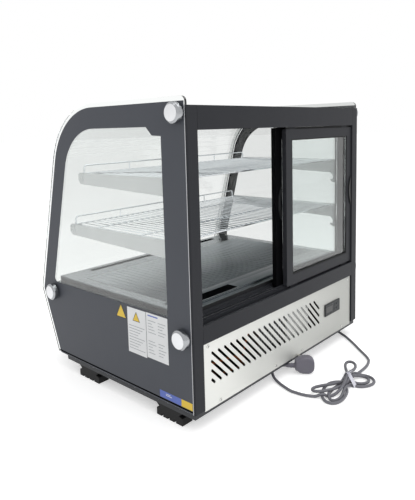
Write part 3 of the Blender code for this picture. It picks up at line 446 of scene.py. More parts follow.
# %%
paint("enamel", "fired ceramic enamel", "#474a51", "#4a4d54", 0.5, (0.4, 0.001), Specular_IOR_Level=0.3)
paint("label", "printed white vinyl", "#e9eaeb", "#e2e4e5", 0.4, (2.0, 0.004))
paint("label_grey", "grey ink on vinyl", "#a4a7ab", "#9b9fa3", 0.45, (1.0, 0.003))
paint("label_yellow", "yellow ink on vinyl", "#e8c63c", "#e2bf38", 0.4, (2.0, 0.004))
paint("label_blue", "blue ink on vinyl", "#5a70bf", "#5368b8", 0.4, (2.0, 0.004))
# Black ink also serves as painted shade: in the seam round the deck plate, in the upright slots and in the
# screw recesses.
paint("ink", "black ink, also painted shade", "#1d1d1f", "#222224", 0.45, (1.0, 0.003))
paint("lens", "smoked display lens", "#0c0d0f", "#101113", 0.08, (8.0, 0.004))
print("finishes in all:", len(FINISH))

# %% [markdown]
# ## The solids take their finishes
# Most solids already have the real shape, so each only needs its finish. Those that a fuller piece stands
# for are taken over further down.

# %%
WORN_BY = {
    "glass": ("side_glass_left",),
    "far_glass": ("side_glass_right",),
    "bent_glass": ("front_glass",),
    "pane": ("outer_door_pane", "inner_door_pane"),
    "frame": (
        "rear_post_left", "rear_post_right", "rear_header", "rear_sill", "outer_door_frame",
    ),
    "inner_frame_shaded": ("inner_door_frame",),
    "body": ("base_pan", "front_lower_panel", "side_sheet_left", "side_sheet_right"),
    "stainless": ("rear_steel_panel",),
    "deck": ("deck_tray",),
    "white": (
        "shelf_upright_left", "shelf_upright_right", "upper_bracket_left", "upper_bracket_right",
        "lower_bracket_left", "lower_bracket_right",
    ),
    "white_plastic": ("led_lamp", "electrical_box"),
    "black_plastic": (
        "return_grille", "condenser_fan_frame", "evaporator_fan_frame", "outer_door_pull", "inner_door_pull",
        "cord_gland",
    ),
    "grey_plastic": (
        "controller_case", "controller_key_1", "controller_key_2", "controller_key_3", "controller_key_4",
        "condenser_fan_rotor", "evaporator_fan_rotor",
    ),
    "lens": ("controller_display",),
    "rubber": ("foot_front_left", "foot_front_right", "foot_rear_left", "foot_rear_right"),
    "liner": ("insulated_tub",),
    "fins": ("condenser", "evaporator"),
    "compressor": ("compressor",),
}
for key, names in WORN_BY.items():
    for name in names:
        NODES[name].data.materials.clear()
        NODES[name].data.materials.append(FINISH[key])
print("solids with a finish:", sum(len(names) for names in WORN_BY.values()))

# %% [markdown]
# ## The power cord
# The cord leaves a gland under the tray, runs along the floor to a tied hank, and comes back to its plug.
# The hank is laid as three loops each way through the tie. A short settling step then lets it drop
# under its own weight, pushes its turns apart and eases its bends, as a real cord does.

# %%
CORD = 0.007
FLOOR = 0.0038
TIE = Vector((-0.0421, 0.4206, 0.0))
LEAD = [
    (-0.3060, 0.2123, 0.0165), (-0.3060, 0.2220, 0.0165), (-0.3060, 0.2340, 0.0136),
    (-0.3050, 0.2480, 0.0078), (-0.3005, 0.2640, 0.0043), (-0.2920, 0.2800, FLOOR),
    (-0.2780, 0.2990, FLOOR), (-0.2540, 0.3290, FLOOR), (-0.2274, 0.3595, FLOOR),
    (-0.2040, 0.3875, FLOOR), (-0.1814, 0.4065, FLOOR), (-0.1535, 0.4160, FLOOR),
    (-0.1256, 0.4163, FLOOR), (-0.1000, 0.4175, FLOOR),
]
LOOPS = [
    [
        (-0.008, 0.4330), (0.020, 0.4440), (0.0450, 0.4490), (0.0677, 0.4461), (0.0774, 0.4316),
        (0.0700, 0.4130), (0.0427, 0.3964), (0.0088, 0.3850), (-0.0220, 0.3880),
    ],
    [
        (-0.0620, 0.4130), (-0.0796, 0.4120), (-0.0970, 0.4200), (-0.1033, 0.4383), (-0.1010, 0.4560),
        (-0.0870, 0.4690), (-0.0690, 0.4715), (-0.0495, 0.4630), (-0.0330, 0.4479),
    ],
    [
        (-0.0140, 0.4300), (0.0120, 0.4370), (0.0360, 0.4420), (0.0570, 0.4400), (0.0660, 0.4290),
        (0.0560, 0.4180), (0.0300, 0.4080), (-0.0060, 0.4070),
    ],
    [
        (-0.0620, 0.4180), (-0.0780, 0.4190), (-0.0920, 0.4290), (-0.0950, 0.4430), (-0.0850, 0.4560),
        (-0.0680, 0.4610), (-0.0520, 0.4560), (-0.0400, 0.4420),
    ],
    [
        (-0.0180, 0.4110), (0.0050, 0.3990), (0.0230, 0.3860), (0.0407, 0.3766), (0.0590, 0.3735),
        (0.0690, 0.3840), (0.0580, 0.4000), (0.0300, 0.4160), (-0.0080, 0.4240),
    ],
    [
        (-0.0608, 0.4062), (-0.0818, 0.3898), (-0.1000, 0.3790), (-0.1160, 0.3775), (-0.1210, 0.3900),
        (-0.1120, 0.4030), (-0.0930, 0.4150), (-0.0700, 0.4190),
    ],
]
TAIL = [
    (-0.0140, 0.4255, FLOOR), (0.0140, 0.4280, FLOOR), (0.0400, 0.4230, FLOOR), (0.0580, 0.4090, FLOOR),
    (0.0709, 0.3889, FLOOR), (0.0775, 0.3745, FLOOR), (0.0815, 0.3560, FLOOR), (0.0808, 0.3350, FLOOR),
    (0.0745, 0.3130, FLOOR), (0.0665, 0.2925, FLOOR), (0.0576, 0.2726, 0.0066), (0.0468, 0.2587, 0.0118),
    (0.0347, 0.2543, 0.0158), (0.0205, 0.2571, 0.0188), (0.0122, 0.2615, 0.0197), (0.0080, 0.2664, 0.0198),
    (0.0045, 0.2708, 0.0198),
]


# %% [markdown]
# ### The route
# The waypoints are joined into one route. Each loop goes out from the tie, round and back through it. The
# passes lie side by side in threes, and after the last one the cord comes down to the floor.


# %%
ACROSS = Vector((0.39, 0.92, 0))
BESIDE, RISE, DOWN_BY = 0.0065, 1.1, 6


def laid_route():
    """The route through the waypoints. Each pass through the tie lies a little over a cord higher."""
    route, height = [Vector(p) for p in LEAD], FLOOR
    for k in range(len(LOOPS) + 1):
        aside = (k % 3 - 1) * BESIDE
        route.append(TIE + ACROSS * aside + Vector((0, 0, height)))
        if k < len(LOOPS):
            loop = LOOPS[k]
            for n, (x, y) in enumerate(loop):
                route.append(Vector((x, y, height + (n + 1) / (len(loop) + 1) * CORD * RISE)))
            height += CORD * RISE
    for n, p in enumerate(TAIL):
        lowered = max(0.0, height - FLOOR) * max(0.0, 1 - (n + 1) / DOWN_BY)
        route.append(Vector(p) + Vector((0, 0, lowered)))
    return route


def even(route, step):
    """Points a step apart along a smooth curve through the route."""
    p = np.array([tuple(v) for v in route])
    p = np.vstack([2 * p[0] - p[1], p, 2 * p[-1] - p[-2]])
    fine = []
    for a, b, c, d in zip(p, p[1:], p[2:], p[3:]):
        for t in np.linspace(0, 1, 24, endpoint=False):
            square = (2 * a - 5 * b + 4 * c - d) * t**2
            cube = (3 * b - a - 3 * c + d) * t**3
            fine.append(0.5 * (2 * b + (c - a) * t + square + cube))
    fine = np.array([*fine, p[-2]])
    along = np.concatenate([[0], np.cumsum(np.linalg.norm(np.diff(fine, axis=0), axis=1))])
    want = np.linspace(0, along[-1], max(2, round(along[-1] / step)))
    return np.stack([np.interp(want, along, fine[:, k]) for k in range(3)], axis=1)


# %% [markdown]
# ### Settling
# The route is then let down as a real cord would lie. It keeps most of its length, pushes its turns apart
# where they cross, and stays near its route.


# %%
STEP = 0.0045
ROUNDS = 260
HOLD_LEAD, HOLD_TAIL = 54, 32
SINK, SPRING, PULL = 0.0001, 0.05, 0.25
REACH, PUSHES = 1.10 * CORD, 4
EASING = ((3, 0.02), (2, 0.04), (1, 0.05))
LAST_EASING = (0.5, -0.53) * 6


def settled(line, rounds):
    """Lets the line drop, bend smoothly and push itself apart, with both of its ends held."""
    home = line.copy()
    step = np.linalg.norm(np.diff(line, axis=0), axis=1).mean()
    near = round(2.6 * CORD / step)
    held = np.zeros(len(line), bool)
    held[:HOLD_LEAD] = held[-HOLD_TAIL:] = True
    index = np.arange(len(line))
    apart = np.abs(index[:, None] - index[None]) > near
    for turn in range(rounds):
        line[:, 2] -= SINK
        line[:, :2] += SPRING * min(1.0, 5 * (1 - turn / rounds)) * (home[:, :2] - line[:, :2])
        for span, share in EASING:
            middle = (line[: -2 * span] + line[2 * span :]) / 2
            line[span:-span] += share * (middle - line[span:-span])
        between = np.diff(line, axis=0)
        long = np.linalg.norm(between, axis=1, keepdims=True)
        pull = PULL * between * (1 - step / long)
        line[:-1] += pull
        line[1:] -= pull
        for _ in range(PUSHES):
            gap = line[:, None] - line[None]
            far = np.sqrt((gap**2).sum(-1)) + 1e-9
            a, b = np.nonzero((far < REACH) & apart)
            push = 0.5 * (REACH - far[a, b])[:, None] * gap[a, b] / far[a, b][:, None]
            moved = np.zeros_like(line)
            count = np.zeros(len(line))
            np.add.at(moved, a, push)
            np.add.at(count, a, 1)
            line += moved / np.maximum(1, count[:, None] * 0.6)
        line[:, 2] = np.maximum(line[:, 2], FLOOR)
        line[held] = home[held]
    for share in LAST_EASING:
        line[1:-1] += share * ((line[:-2] + line[2:]) / 2 - line[1:-1])
        line[held] = home[held]
    return line


# %% [markdown]
# ### The cord's curve
# The settled line becomes one open spline with a round section.


# %%
line = settled(even(laid_route(), STEP), ROUNDS)
gap = np.sqrt(((line[:, None] - line[None]) ** 2).sum(-1))
apart = np.abs(np.arange(len(line))[:, None] - np.arange(len(line))[None]) > 5
print(
    "closest turns, mm:",
    round(gap[apart].min() * 1000, 2),
    "highest, mm:",
    round(line[:, 2].max() * 1000, 1),
)
line = even(line, 0.003)
turned_by = np.linalg.norm((line[:-10] + line[10:]) / 2 - line[5:-5], axis=1)
print("tightest bend, mm:", round(float((0.015**2 / 2 / turned_by).min() * 1000), 1))
cord_curve = bpy.data.curves.new("power_cord", "CURVE")
cord_curve.dimensions = "3D"
cord_curve.bevel_depth = CORD / 2
cord_curve.bevel_resolution = 4
spline = cord_curve.splines.new("POLY")
spline.points.add(len(line) - 1)
for spot, place in zip(spline.points, line):
    spot.co = (*place, 1)
cord = bpy.data.objects.new("power_cord", cord_curve)
bpy.context.scene.collection.objects.link(cord)
cord_curve.materials.append(FINISH["sheath"])
piece(cord, "power_cord", None, smooth=0)
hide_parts("cord_lead", "cord_tail", "cord_hank")

# %% [markdown]
# ### The tie
# A flat nylon band goes once round the strands and is drawn tight. Its line is the outline of the strands
# where they pass through it, and the band is that line drawn out to its width and thickened.

# %%
TIE_W = 0.0095
tie_axis = Vector((-0.92, 0.39, 0)).normalized()
tie_side = ACROSS.normalized()
offset = (line - np.array(TIE)) @ np.array(tie_axis)
beside = (line - np.array(TIE)) @ np.array(tie_side)
crossing = [
    (float(beside[k]), float(line[k, 2]))
    for k in range(len(line) - 1)
    if offset[k] * offset[k + 1] <= 0 and abs(beside[k]) < 0.03
]
print("strands through the tie:", len(crossing))
ROUND_IT = CORD / 2 + 0.0006
ring = [
    (s + ROUND_IT * math.cos(t), h + ROUND_IT * math.sin(t))
    for s, h in crossing
    for t in np.linspace(0, math.tau, 20, endpoint=False)
]


def hull(points):
    """The outline round a cloud of flat points."""
    points = sorted(set(points))

    def half(run):
        out = []
        for p in run:
            while len(out) > 1 and (
                (out[-1][0] - out[-2][0]) * (p[1] - out[-2][1])
                <= (out[-1][1] - out[-2][1]) * (p[0] - out[-2][0])
            ):
                out.pop()
            out.append(p)
        return out[:-1]

    return half(points) + half(points[::-1])


band_line = [
    TIE + tie_side * s + Vector((0, 0, max(h, 0.0009))) - tie_axis * TIE_W / 2 for s, h in hull(ring)
]
mesh = bpy.data.meshes.new("tie")
mesh.from_pydata(
    [tuple(p) for p in band_line], [(k, (k + 1) % len(band_line)) for k in range(len(band_line))], []
)
tie = bpy.data.objects.new("tie", mesh)
bpy.context.scene.collection.objects.link(tie)
edit(
    tie,
    lambda: bpy.ops.mesh.extrude_region_move(TRANSFORM_OT_translate={"value": tie_axis * TIE_W}),
    lambda: bpy.ops.mesh.select_all(action="SELECT"),
    lambda: bpy.ops.mesh.normals_make_consistent(inside=False),
    lambda: bpy.ops.mesh.solidify(thickness=0.0006),
)
tie_tail = block((-0.0045, -0.0004, -0.008), (0.0045, 0.0004, 0.008), 0.0003)
high = max(h for _, h in hull(ring))
top = max(hull(ring), key=lambda q: q[1])
lean = Matrix.Rotation(math.atan2(tie_axis.y, tie_axis.x), 4, "Z") @ Matrix.Rotation(math.radians(62), 4, "X")
spot = TIE + tie_side * (top[0] + 0.006) + Vector((0, 0, high + 0.0035))
tie_tail.data.transform(Matrix.Translation(spot) @ lean)
tie = piece(joined([tie, tie_tail]), "cord_tie", FINISH["tie"])

# %% [markdown]
# ### The plug
# The plug stands on its edge with its three flat pins towards the case. The body is a rounded wedge,
# narrower where the cord goes in, with a shallow grip on each side and a ribbed sleeve that eases the
# cord's bend.

# %%
PLUG_AT = Vector((-0.0248, 0.3080, 0.0228))
plug_place = (
    Matrix.Translation(PLUG_AT)
    @ Matrix.Rotation(math.radians(128.3), 4, "Z")
    @ Matrix.Rotation(math.radians(-90), 4, "X")
    @ Matrix.Translation((0, 0, -0.0118))
)


def corner_arc(x, y, radius, start, steps=5):
    """Points of a quarter of a circle."""
    return [
        (
            x + radius * math.cos(start + math.pi / 2 * k / steps),
            y + radius * math.sin(start + math.pi / 2 * k / steps),
        )
        for k in range(steps + 1)
    ]


body_line = (
    corner_arc(0.0240 - 0.017, -0.0225 + 0.017, 0.017, -math.pi / 2, 7)
    + corner_arc(0.0240 - 0.017, 0.0225 - 0.017, 0.017, 0, 7)
    + [(-0.006, 0.0218), (-0.015, 0.0190)]
    + corner_arc(-0.0250 + 0.006, 0.0150 - 0.006, 0.006, math.pi / 2, 3)
    + corner_arc(-0.0250 + 0.006, -0.0150 + 0.006, 0.006, math.pi, 3)
    + [(-0.015, -0.0190), (-0.006, -0.0218)]
)
plug_body = plate([(x, y, 0) for x, y in body_line], (0, 0, 0.0235))
rounded_edges(plug_body, 0.0060, 4, 50)
face_plate = plate([(x * 0.70 + 0.001, y * 0.70, 0.0233) for x, y in body_line], (0, 0, 0.0007))
cover = block((-0.004, -0.0065, 0.0238), (0.012, -0.0185, 0.0243), 0.0003)
grips = [
    bar((x, side * 0.0212, 0.006), (x, side * 0.0212, 0.0175), 0.0011, 8)
    for side in (-1, 1)
    for x in (-0.003, 0.000, 0.003, 0.006)
]
sleeve_line = [(0, 0.0), (0, 0.0056)]
for k in range(6):
    sleeve_line += [(0.0036 * k + 0.0006, 0.0068 - 0.0003 * k), (0.0036 * k + 0.0024, 0.0067 - 0.0003 * k)]
    sleeve_line += [(0.0036 * k + 0.0028, 0.0054 - 0.0002 * k), (0.0036 * k + 0.0036, 0.0054 - 0.0002 * k)]
sleeve_line += [(0.0228, 0.0046), (0.0228, 0.0)]
plug_sleeve = turned(sleeve_line, (-0.0243, 0.0030, 0.0118), (-1, 0, 0), 28)
plug = joined([plug_body, face_plate, cover, *grips, plug_sleeve])
plug.data.transform(plug_place)
plug = piece(plug, "moulded_plug", FINISH["plug"], smooth=40)
pins = []
for along, across, size, tall in (
    (0.011, 0.0, (0.004, 0.008), 0.0227), (-0.011, 0.0111, (0.0063, 0.004), 0.0177),
    (-0.011, -0.0111, (0.0063, 0.004), 0.0177),
):
    low = (along - size[0] / 2, across - size[1] / 2, 0.0230)
    pins.append(block(low, (low[0] + size[0], low[1] + size[1], 0.0240 + tall), 0.0006))
pins = joined(pins)
pins.data.transform(plug_place)
piece(pins, "plug_pins", FINISH["nickel"])
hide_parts("plug")

# %% [markdown]
# ## The printed border of the side glass
# The print stops short of the polished edge along the top, the bend and the nose, and leaves that edge
# clear. It runs to the edge at the back and the bottom. Its window follows the same bend, and steps down
# round the corner of the rear frame. The same shape is mirrored for the other glass.

# %%
STRIP = 0.0095
TILT, UNDER = math.radians(14.8), math.radians(21.4)
GLASS_TOP, GLASS_BEND, GLASS_BEND_AT = 0.687, 0.177, (-0.0212, 0.510)
GLASS_FOOT = (-0.2209, 0.0451)


def bend(centre, radius, steps):
    """A bend from the level top round to the sloping front."""
    return [
        (centre[0] + radius * math.cos(t), centre[1] + radius * math.sin(t))
        for t in np.linspace(math.pi / 2, math.pi - TILT, steps)
    ]


def border(inset, rear, low):
    """The outline of the side glass, brought in from its free edges."""
    top = bend(GLASS_BEND_AT, GLASS_BEND - inset, 24)
    slope = np.array((-math.sin(TILT), -math.cos(TILT)))
    under = np.array((math.sin(UNDER), -math.cos(UNDER)))
    foot = np.array(GLASS_FOOT) + inset * np.array((math.cos(UNDER), math.sin(UNDER)))
    s, _ = np.linalg.solve(np.array([slope, -under]).T, foot - np.array(top[-1]))
    nose = np.array(top[-1]) + s * slope
    end = foot + under * (foot[1] - low) / math.cos(UNDER)
    return [(rear, GLASS_TOP - inset), *top, tuple(nose), tuple(end), (rear, low)]


window = [(0.2115, 0.2345), (0.2102, 0.6105), (0.1835, 0.6115), (0.1660, 0.6290)]
window += bend((-0.020, 0.505), 0.124, 20)
drop = (window[-1][1] - 0.2465) / math.cos(TILT)
corner = window[-1][0] - drop * math.sin(TILT)
window += [(corner, 0.2465), (corner + 0.0010, 0.2402), (corner + 0.0055, 0.2358), (corner + 0.0120, 0.2345)]
PRINT_X = 0.35105
enamel = plate(
    [(PRINT_X, y, z) for y, z in border(STRIP, 0.2776, 0.0417)],
    (0.0002, 0, 0),
    [[(PRINT_X, y, z) for y, z in window]],
)
bead = block((PRINT_X, 0.2778, 0.0417), (PRINT_X + 0.0002, 0.2796, 0.6690))
for side, mirror in (("left", False), ("right", True)):
    piece(copied(enamel, mirror=mirror), f"enamel_print_{side}", FINISH["enamel"], smooth=0)
    piece(copied(bead, mirror=mirror), f"edge_bead_{side}", FINISH["silicone"], smooth=0)
# A thin black strip on each glass just above the print's foot is painted shadow, for the dark gap between the
# glass and the base tray.
gap_shadow_line = block((PRINT_X + 0.0002, -0.2150, 0.0450), (PRINT_X + 0.0003, 0.2776, 0.0488))
piece(copied(gap_shadow_line, mirror=True), "tray_gap_shadow_right", FINISH["gauze"], smooth=0)
piece(gap_shadow_line, "tray_gap_shadow_left", FINISH["gauze"], smooth=0)
bpy.data.objects.remove(enamel)
bpy.data.objects.remove(bead)

# %% [markdown]
# ## Glass knobs
# Six turned knobs clamp the side glasses to the frame. The face is satin, from fine concentric tool marks.
# A polished bevel and side run round it, with a narrow shadow groove next to the glass.

# %%
knob = turned(
    [
        (0, 0), (0, 0.0150), (0.0010, 0.0160), (0.0026, 0.0162), (0.0032, 0.0205), (0.0040, 0.0210),
        (0.0128, 0.0210), (0.0138, 0.0208), (0.0144, 0.0202), (0.0150, 0.0194), (0.0170, 0.0178),
        (0.0175, 0.0172), (0.0177, 0.0166), (0.0177, 0),
    ],
    (0, 0, 0),
    steps=56,
)
knob.data.materials.append(FINISH["polished"])
knob.data.materials.append(FINISH["satin"])
for face in knob.data.polygons:
    face.material_index = 1 if face.normal.x > 0.95 and face.center.x > 0.017 else 0
for spot, (y, z) in {
    "top_rear": (0.258, 0.655), "low_rear": (0.257, 0.200), "low_front": (-0.219, 0.208)
}.items():
    for side, sign in (("left", 1), ("right", -1)):
        made = copied(knob, (sign * 0.3513, y, z), sign < 0)
        piece(made, f"knob_{spot}_{side}", None, smooth=24)
        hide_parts(f"glass_knob_{spot}_{side}")
bpy.data.objects.remove(knob)

# %% [markdown]
# ## Labels
# The vinyl labels on one glass are left plain. Grey bars stand where lines of print would be, and the
# yellow triangles carry no sign.

# %%
SKIN = 0.3513
white = [block((SKIN, 0.0785, 0.1250), (SKIN + 0.0002, 0.1410, 0.2300)),
         block((SKIN, 0.1425, 0.1285), (SKIN + 0.0002, 0.2100, 0.2306))]
piece(joined(white), "plain_labels", FINISH["label"], smooth=0)
ROW_STEP = 0.0066


def row(start, end, z):
    """A bar that stands for a line of print."""
    return block((SKIN + 0.0002, start, z), (SKIN + 0.0003, end, z + 0.0014))


rows = [row(0.0830, 0.1360 - 0.0075 * (k * 5 % 4), 0.1880 - ROW_STEP * k) for k in range(9)]
for k in range(12):
    if k not in (5, 6):
        z = 0.2130 - ROW_STEP * k
        rows.append(row(0.1480, 0.1730 - 0.0040 * (k * 3 % 4), z))
        rows.append(row(0.1800, 0.2040 - 0.0050 * (k * 7 % 3), z))
piece(joined(rows), "label_bars", FINISH["label_grey"], smooth=0)


def triangle(y, z, wide, high, depth, x):
    """A plain triangle on the side glass, with its point up."""
    return plate([(x, y - wide / 2, z), (x, y + wide / 2, z), (x, y, z + high)], (depth, 0, 0))


edges = [
    triangle(0.0560, 0.1985, 0.0380, 0.0340, 0.0001, SKIN),
    triangle(0.1090, 0.2010, 0.0250, 0.0225, 0.0001, SKIN + 0.0002),
]
piece(joined(edges), "triangle_edges", FINISH["ink"], smooth=0)
yellow = [
    triangle(0.0560, 0.2003, 0.0320, 0.0285, 0.0002, SKIN),
    triangle(0.1090, 0.2023, 0.0205, 0.0185, 0.0002, SKIN + 0.0002),
]
yellow.append(block((SKIN, 0.2445, 0.0500), (SKIN + 0.0002, 0.2765, 0.0655)))
piece(joined(yellow), "yellow_labels", FINISH["label_yellow"], smooth=0)
blue = [block((SKIN, 0.1790, 0.0500), (SKIN + 0.0002, 0.2440, 0.0655)),
        block((SKIN + 0.0002, 0.1480, 0.2235), (SKIN + 0.0003, 0.1800, 0.2262))]
piece(joined(blue), "blue_labels", FINISH["label_blue"], smooth=0)
pale = [
    block((SKIN + 0.0002, 0.1980, z), (SKIN + 0.0003, 0.2120 + k * 0.004, z + 0.0013))
    for k, z in enumerate((0.0605, 0.0575))
]
piece(joined(pale), "blue_label_bars", FINISH["label"], smooth=0)

# %% [markdown]
# ## Wire shelves
# Each shelf is a chromed wire grid. Fine wires run front to back, welded on cross bars, and a rail along
# the front keeps trays from sliding off. The rear edge has two bars close together.

# %%
WIRE, CROSS_WIRE, RAIL_WIRE = 0.0013, 0.0017, 0.0020
for level, low, front, cross in (
    ("upper", 0.5180, -0.1120, (-0.030, 0.085)),
    ("lower", 0.3857, -0.1600, (-0.070, 0.092)),
):
    rear, half = 0.2135, 0.3155
    wires = [bar((-half, front + 0.0012, low + 0.0030), (-half, rear, low + 0.0030), WIRE, 8)]
    for k in range(1, 34):
        wires.append(copied(wires[0], (2 * half * k / 33, 0, 0)))
    for y in (front + 0.0016, *cross, rear - 0.0080, rear - 0.0014):
        wires.append(bar((-0.3180, y, low + CROSS_WIRE), (0.3180, y, low + CROSS_WIRE), CROSS_WIRE, 10))
    top, end, turn = low + 0.0220, 0.3130, 0.0080
    path = [(-end, front + 0.002, low + 0.002), (-end, front + 0.002, top - turn)]
    path += [
        (-end + turn - turn * math.cos(t), front + 0.002, top - turn + turn * math.sin(t))
        for t in np.linspace(0.3, math.pi / 2, 5)
    ]
    path += [(-x, y, z) for x, y, z in path[::-1]]
    wires.append(bent_bar(path, RAIL_WIRE, 10))
    for x in (-0.17, 0.17):
        wires.append(bar((x, front + 0.002, low + 0.002), (x, front + 0.002, top), WIRE, 8))
    made = piece(joined(wires), f"wire_shelf_{level}", FINISH["chrome"], smooth=40)
    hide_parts(f"{level}_shelf")

# %% [markdown]
# ## The ribbed plate in the deck
# A ribbed plate is let into the deck tray. Its low ribs run from front to back, stiffen it and let air pass
# under a tray. A thin black line round its edge is painted shade, for the dark of the seam.

# %%
half, y0, y1 = 0.3020, -0.1395, 0.1640
base = block((-half, y0, 0.2446), (half, y1, 0.2452), 0.0002)
rib = bar((-half + 0.008, y0 + 0.006, 0.2444), (-half + 0.008, y1 - 0.006, 0.2444), 0.0024, 12)
ribs = [rib] + [copied(rib, (2 * (half - 0.008) * k / 36, 0, 0)) for k in range(1, 37)]
piece(joined([base, *ribs]), "ribbed_plate", FINISH["ribbed"], smooth=60)
SEAM = 0.0012
outer = rectangle(-half - SEAM, y0 - SEAM, half + SEAM, y1 + SEAM)
inner = rectangle(-half, y0, half, y1)
# The black ring round the plate is painted shade in its seam.
seam = plate([(x, y, 0.2448) for x, y in outer], (0, 0, 0.0003), [[(x, y, 0.2448) for x, y in inner]])
piece(seam, "plate_seam_shadow", FINISH["ink"], smooth=0)
strip = [
    block((-0.3170, 0.1660, 0.2453), (0.3170, 0.1860, 0.2457), 0.0001),
    block((-0.3170, 0.1860, 0.2453), (0.1250, 0.2215, 0.2457), 0.0001),
    block((0.1250, 0.2175, 0.2453), (0.3170, 0.2215, 0.2457), 0.0001),
    block((-0.3170, 0.2226, 0.2401), (0.3170, 0.2360, 0.2406), 0.0001),
]
piece(joined(strip), "rear_strip", FINISH["ribbed"], smooth=60)
gauze = block((0.1250, 0.1860, 0.2452), (0.3170, 0.2175, 0.2455), 0)
piece(gauze, "vent_gauze", FINISH["gauze"], smooth=0)
DECK_SCREW = [(0, 0), (0, 0.0032), (0.0008, 0.0028), (0.0012, 0.0012), (0.0012, 0)]
screws = [
    turned(DECK_SCREW, (x, y, 0.2450), (0, 0, 1), 20)
    for x in (-0.3240, 0.3240)
    for y in (-0.200, 0.014, 0.205)
]
piece(joined(screws), "deck_screws", FINISH["zinc"])

# %% [markdown]
# ## Bracket hooks and upright slots
# Each bracket hangs in its upright by a hook behind a rounded tab. The uprights are punched with a row of
# slots, so that the shelves can be set higher or lower.

# %%
HOOK_LINE = [
    (0.2226, 0), (0.2226, 0.0300), (0.2170, 0.0310), (0.2115, 0.0285), (0.2075, 0.0240), (0.2075, 0.0205),
    (0.2125, 0.0215), (0.2160, 0.0190), (0.2165, 0.0130), (0.2120, 0.0060), (0.2050, 0),
]
hooks = [
    plate([(0.3236, y, top - down) for y, down in HOOK_LINE], (0.0018, 0, 0)) for top in (0.4850, 0.3527)
]
hooks += [bar((0.3232, 0.1800, z), (0.3237, 0.1800, z), 0.0030, 16) for z in (0.5050, 0.3725)]
LUG_X = 0.3257
for low, front in ((0.518, -0.1135), (0.3857, -0.1615)):
    tip = rectangle(front - 0.001, low - 0.016, front + 0.017, low + 0.002)
    tip_hole = rectangle(front + 0.003, low - 0.011, front + 0.012, low - 0.004)
    tab = rectangle(0.1860, low - 0.018, 0.2040, low)
    tab_hole = rectangle(0.1895, low - 0.0145, 0.2040 - 0.0035, low - 0.0035)
    for lug, hole, thick in ((tip, tip_hole, 0.0022), (tab, tab_hole, 0.0014)):
        hole = [(LUG_X, y, z) for y, z in hole]
        hooks.append(plate([(LUG_X, y, z) for y, z in lug], (thick, 0, 0), [hole]))
hooks = joined(hooks)
piece(copied(hooks, mirror=True), "bracket_hooks_right", FINISH["white"])
piece(hooks, "bracket_hooks_left", FINISH["white"])
# The punched slots are thin black blocks on the uprights' faces: painted shade where the holes are.
slots = [
    block((0.3285, 0.2228, z), (0.3315, 0.2230, z + 0.0100), 0.00005)
    for z in np.arange(0.262, 0.608, 0.020)
]
slots = joined(slots)
piece(copied(slots, mirror=True), "upright_slot_shade_right", FINISH["ink"], smooth=0)
piece(slots, "upright_slot_shade_left", FINISH["ink"], smooth=0)

# %% [markdown]
# ## Door gaskets
# A thin black gasket holds each pane in its frame, and a brush strip lies along the top of each door. They
# ride with their doors.

# %%
for door, x0, x1, face, top in (
    ("outer_door", -0.2950, -0.0160, 0.2800, 0.5915),
    ("inner_door", -0.2761, 0.0029, 0.2620, 0.5955),
):
    for end, y in (("rear", face - 0.0028), ("front", face - 0.0112)):
        outside = [(x, y, z) for x, z in rectangle(x0, 0.2535, x1, top)]
        inside = [(x, y, z) for x, z in rectangle(x0 + 0.003, 0.2565, x1 - 0.003, top - 0.003)]
        gasket = plate(outside, (0, 0.0020, 0), [inside])
        piece(gasket, f"{door}_gasket_{end}", FINISH["rubber"], door, 0)
    brush = block(
        (x0 - 0.020, face - 0.0090, top + 0.0235),
        (x1 + 0.020, face - 0.0040, top + 0.0290 - 0.0040 * (door == "inner_door")),
    )
    piece(brush, f"{door}_brush", FINISH["rubber"], door, 0)

# %% [markdown]
# ## Panel screws and the controller's details
# Six pan-head screws hold the steel panel: four along its lower edge and one near each upper corner. The
# controller has a raised rim round its bezel and a small status lamp, and no symbols.

# %%
screw = turned(
    [(0, 0), (0, 0.0041), (0.0006, 0.0041), (0.0013, 0.0033), (0.0018, 0.0014), (0.0018, 0)],
    (0, 0, 0),
    (0, 1, 0),
    24,
)
SCREWS_AT = [(x, 0.042) for x in (0.2685, 0.0618, -0.0595, -0.2685)] + [(0.305, 0.174), (-0.305, 0.174)]
heads = [copied(screw, (x, 0.2805, z)) for x, z in SCREWS_AT]
bpy.data.objects.remove(screw)
piece(joined(heads), "panel_screws", FINISH["zinc"])
# The cross recess in each screw head is two thin black bars: painted shade in the recess.
marks = []
for x, z in SCREWS_AT:
    marks.append(block((x - 0.0018, 0.2822, z - 0.0003), (x + 0.0018, 0.2824, z + 0.0003)))
    marks.append(block((x - 0.0003, 0.2822, z - 0.0018), (x + 0.0003, 0.2824, z + 0.0018)))
piece(joined(marks), "screw_recess_shade", FINISH["ink"], smooth=0)
RIM_Y = 0.2834
rim_out = [(x, RIM_Y, z) for x, z in rectangle(-0.2505, 0.0995, -0.1725, 0.1295)]
rim_in = [(x, RIM_Y, z) for x, z in rectangle(-0.2490, 0.1010, -0.1740, 0.1280)]
rim = plate(rim_out, (0, 0.0005, 0), [rim_in])
piece(rim, "controller_rim", FINISH["black_plastic"], smooth=0)
status_lamp = bar((-0.2125, 0.2832, 0.1250), (-0.2125, 0.2838, 0.1250), 0.0010, 16)
piece(status_lamp, "status_lamp", FINISH["label_grey"])

# %% [markdown]
# ## Pipework behind the vents
# Two copper pipes join the compressor to the condenser, and show a little through the slots of the panel.

# %%
paint("copper", "drawn copper tube", "#b87452", "#a9694a", 0.28, (1.0, 0.004), 1.0)


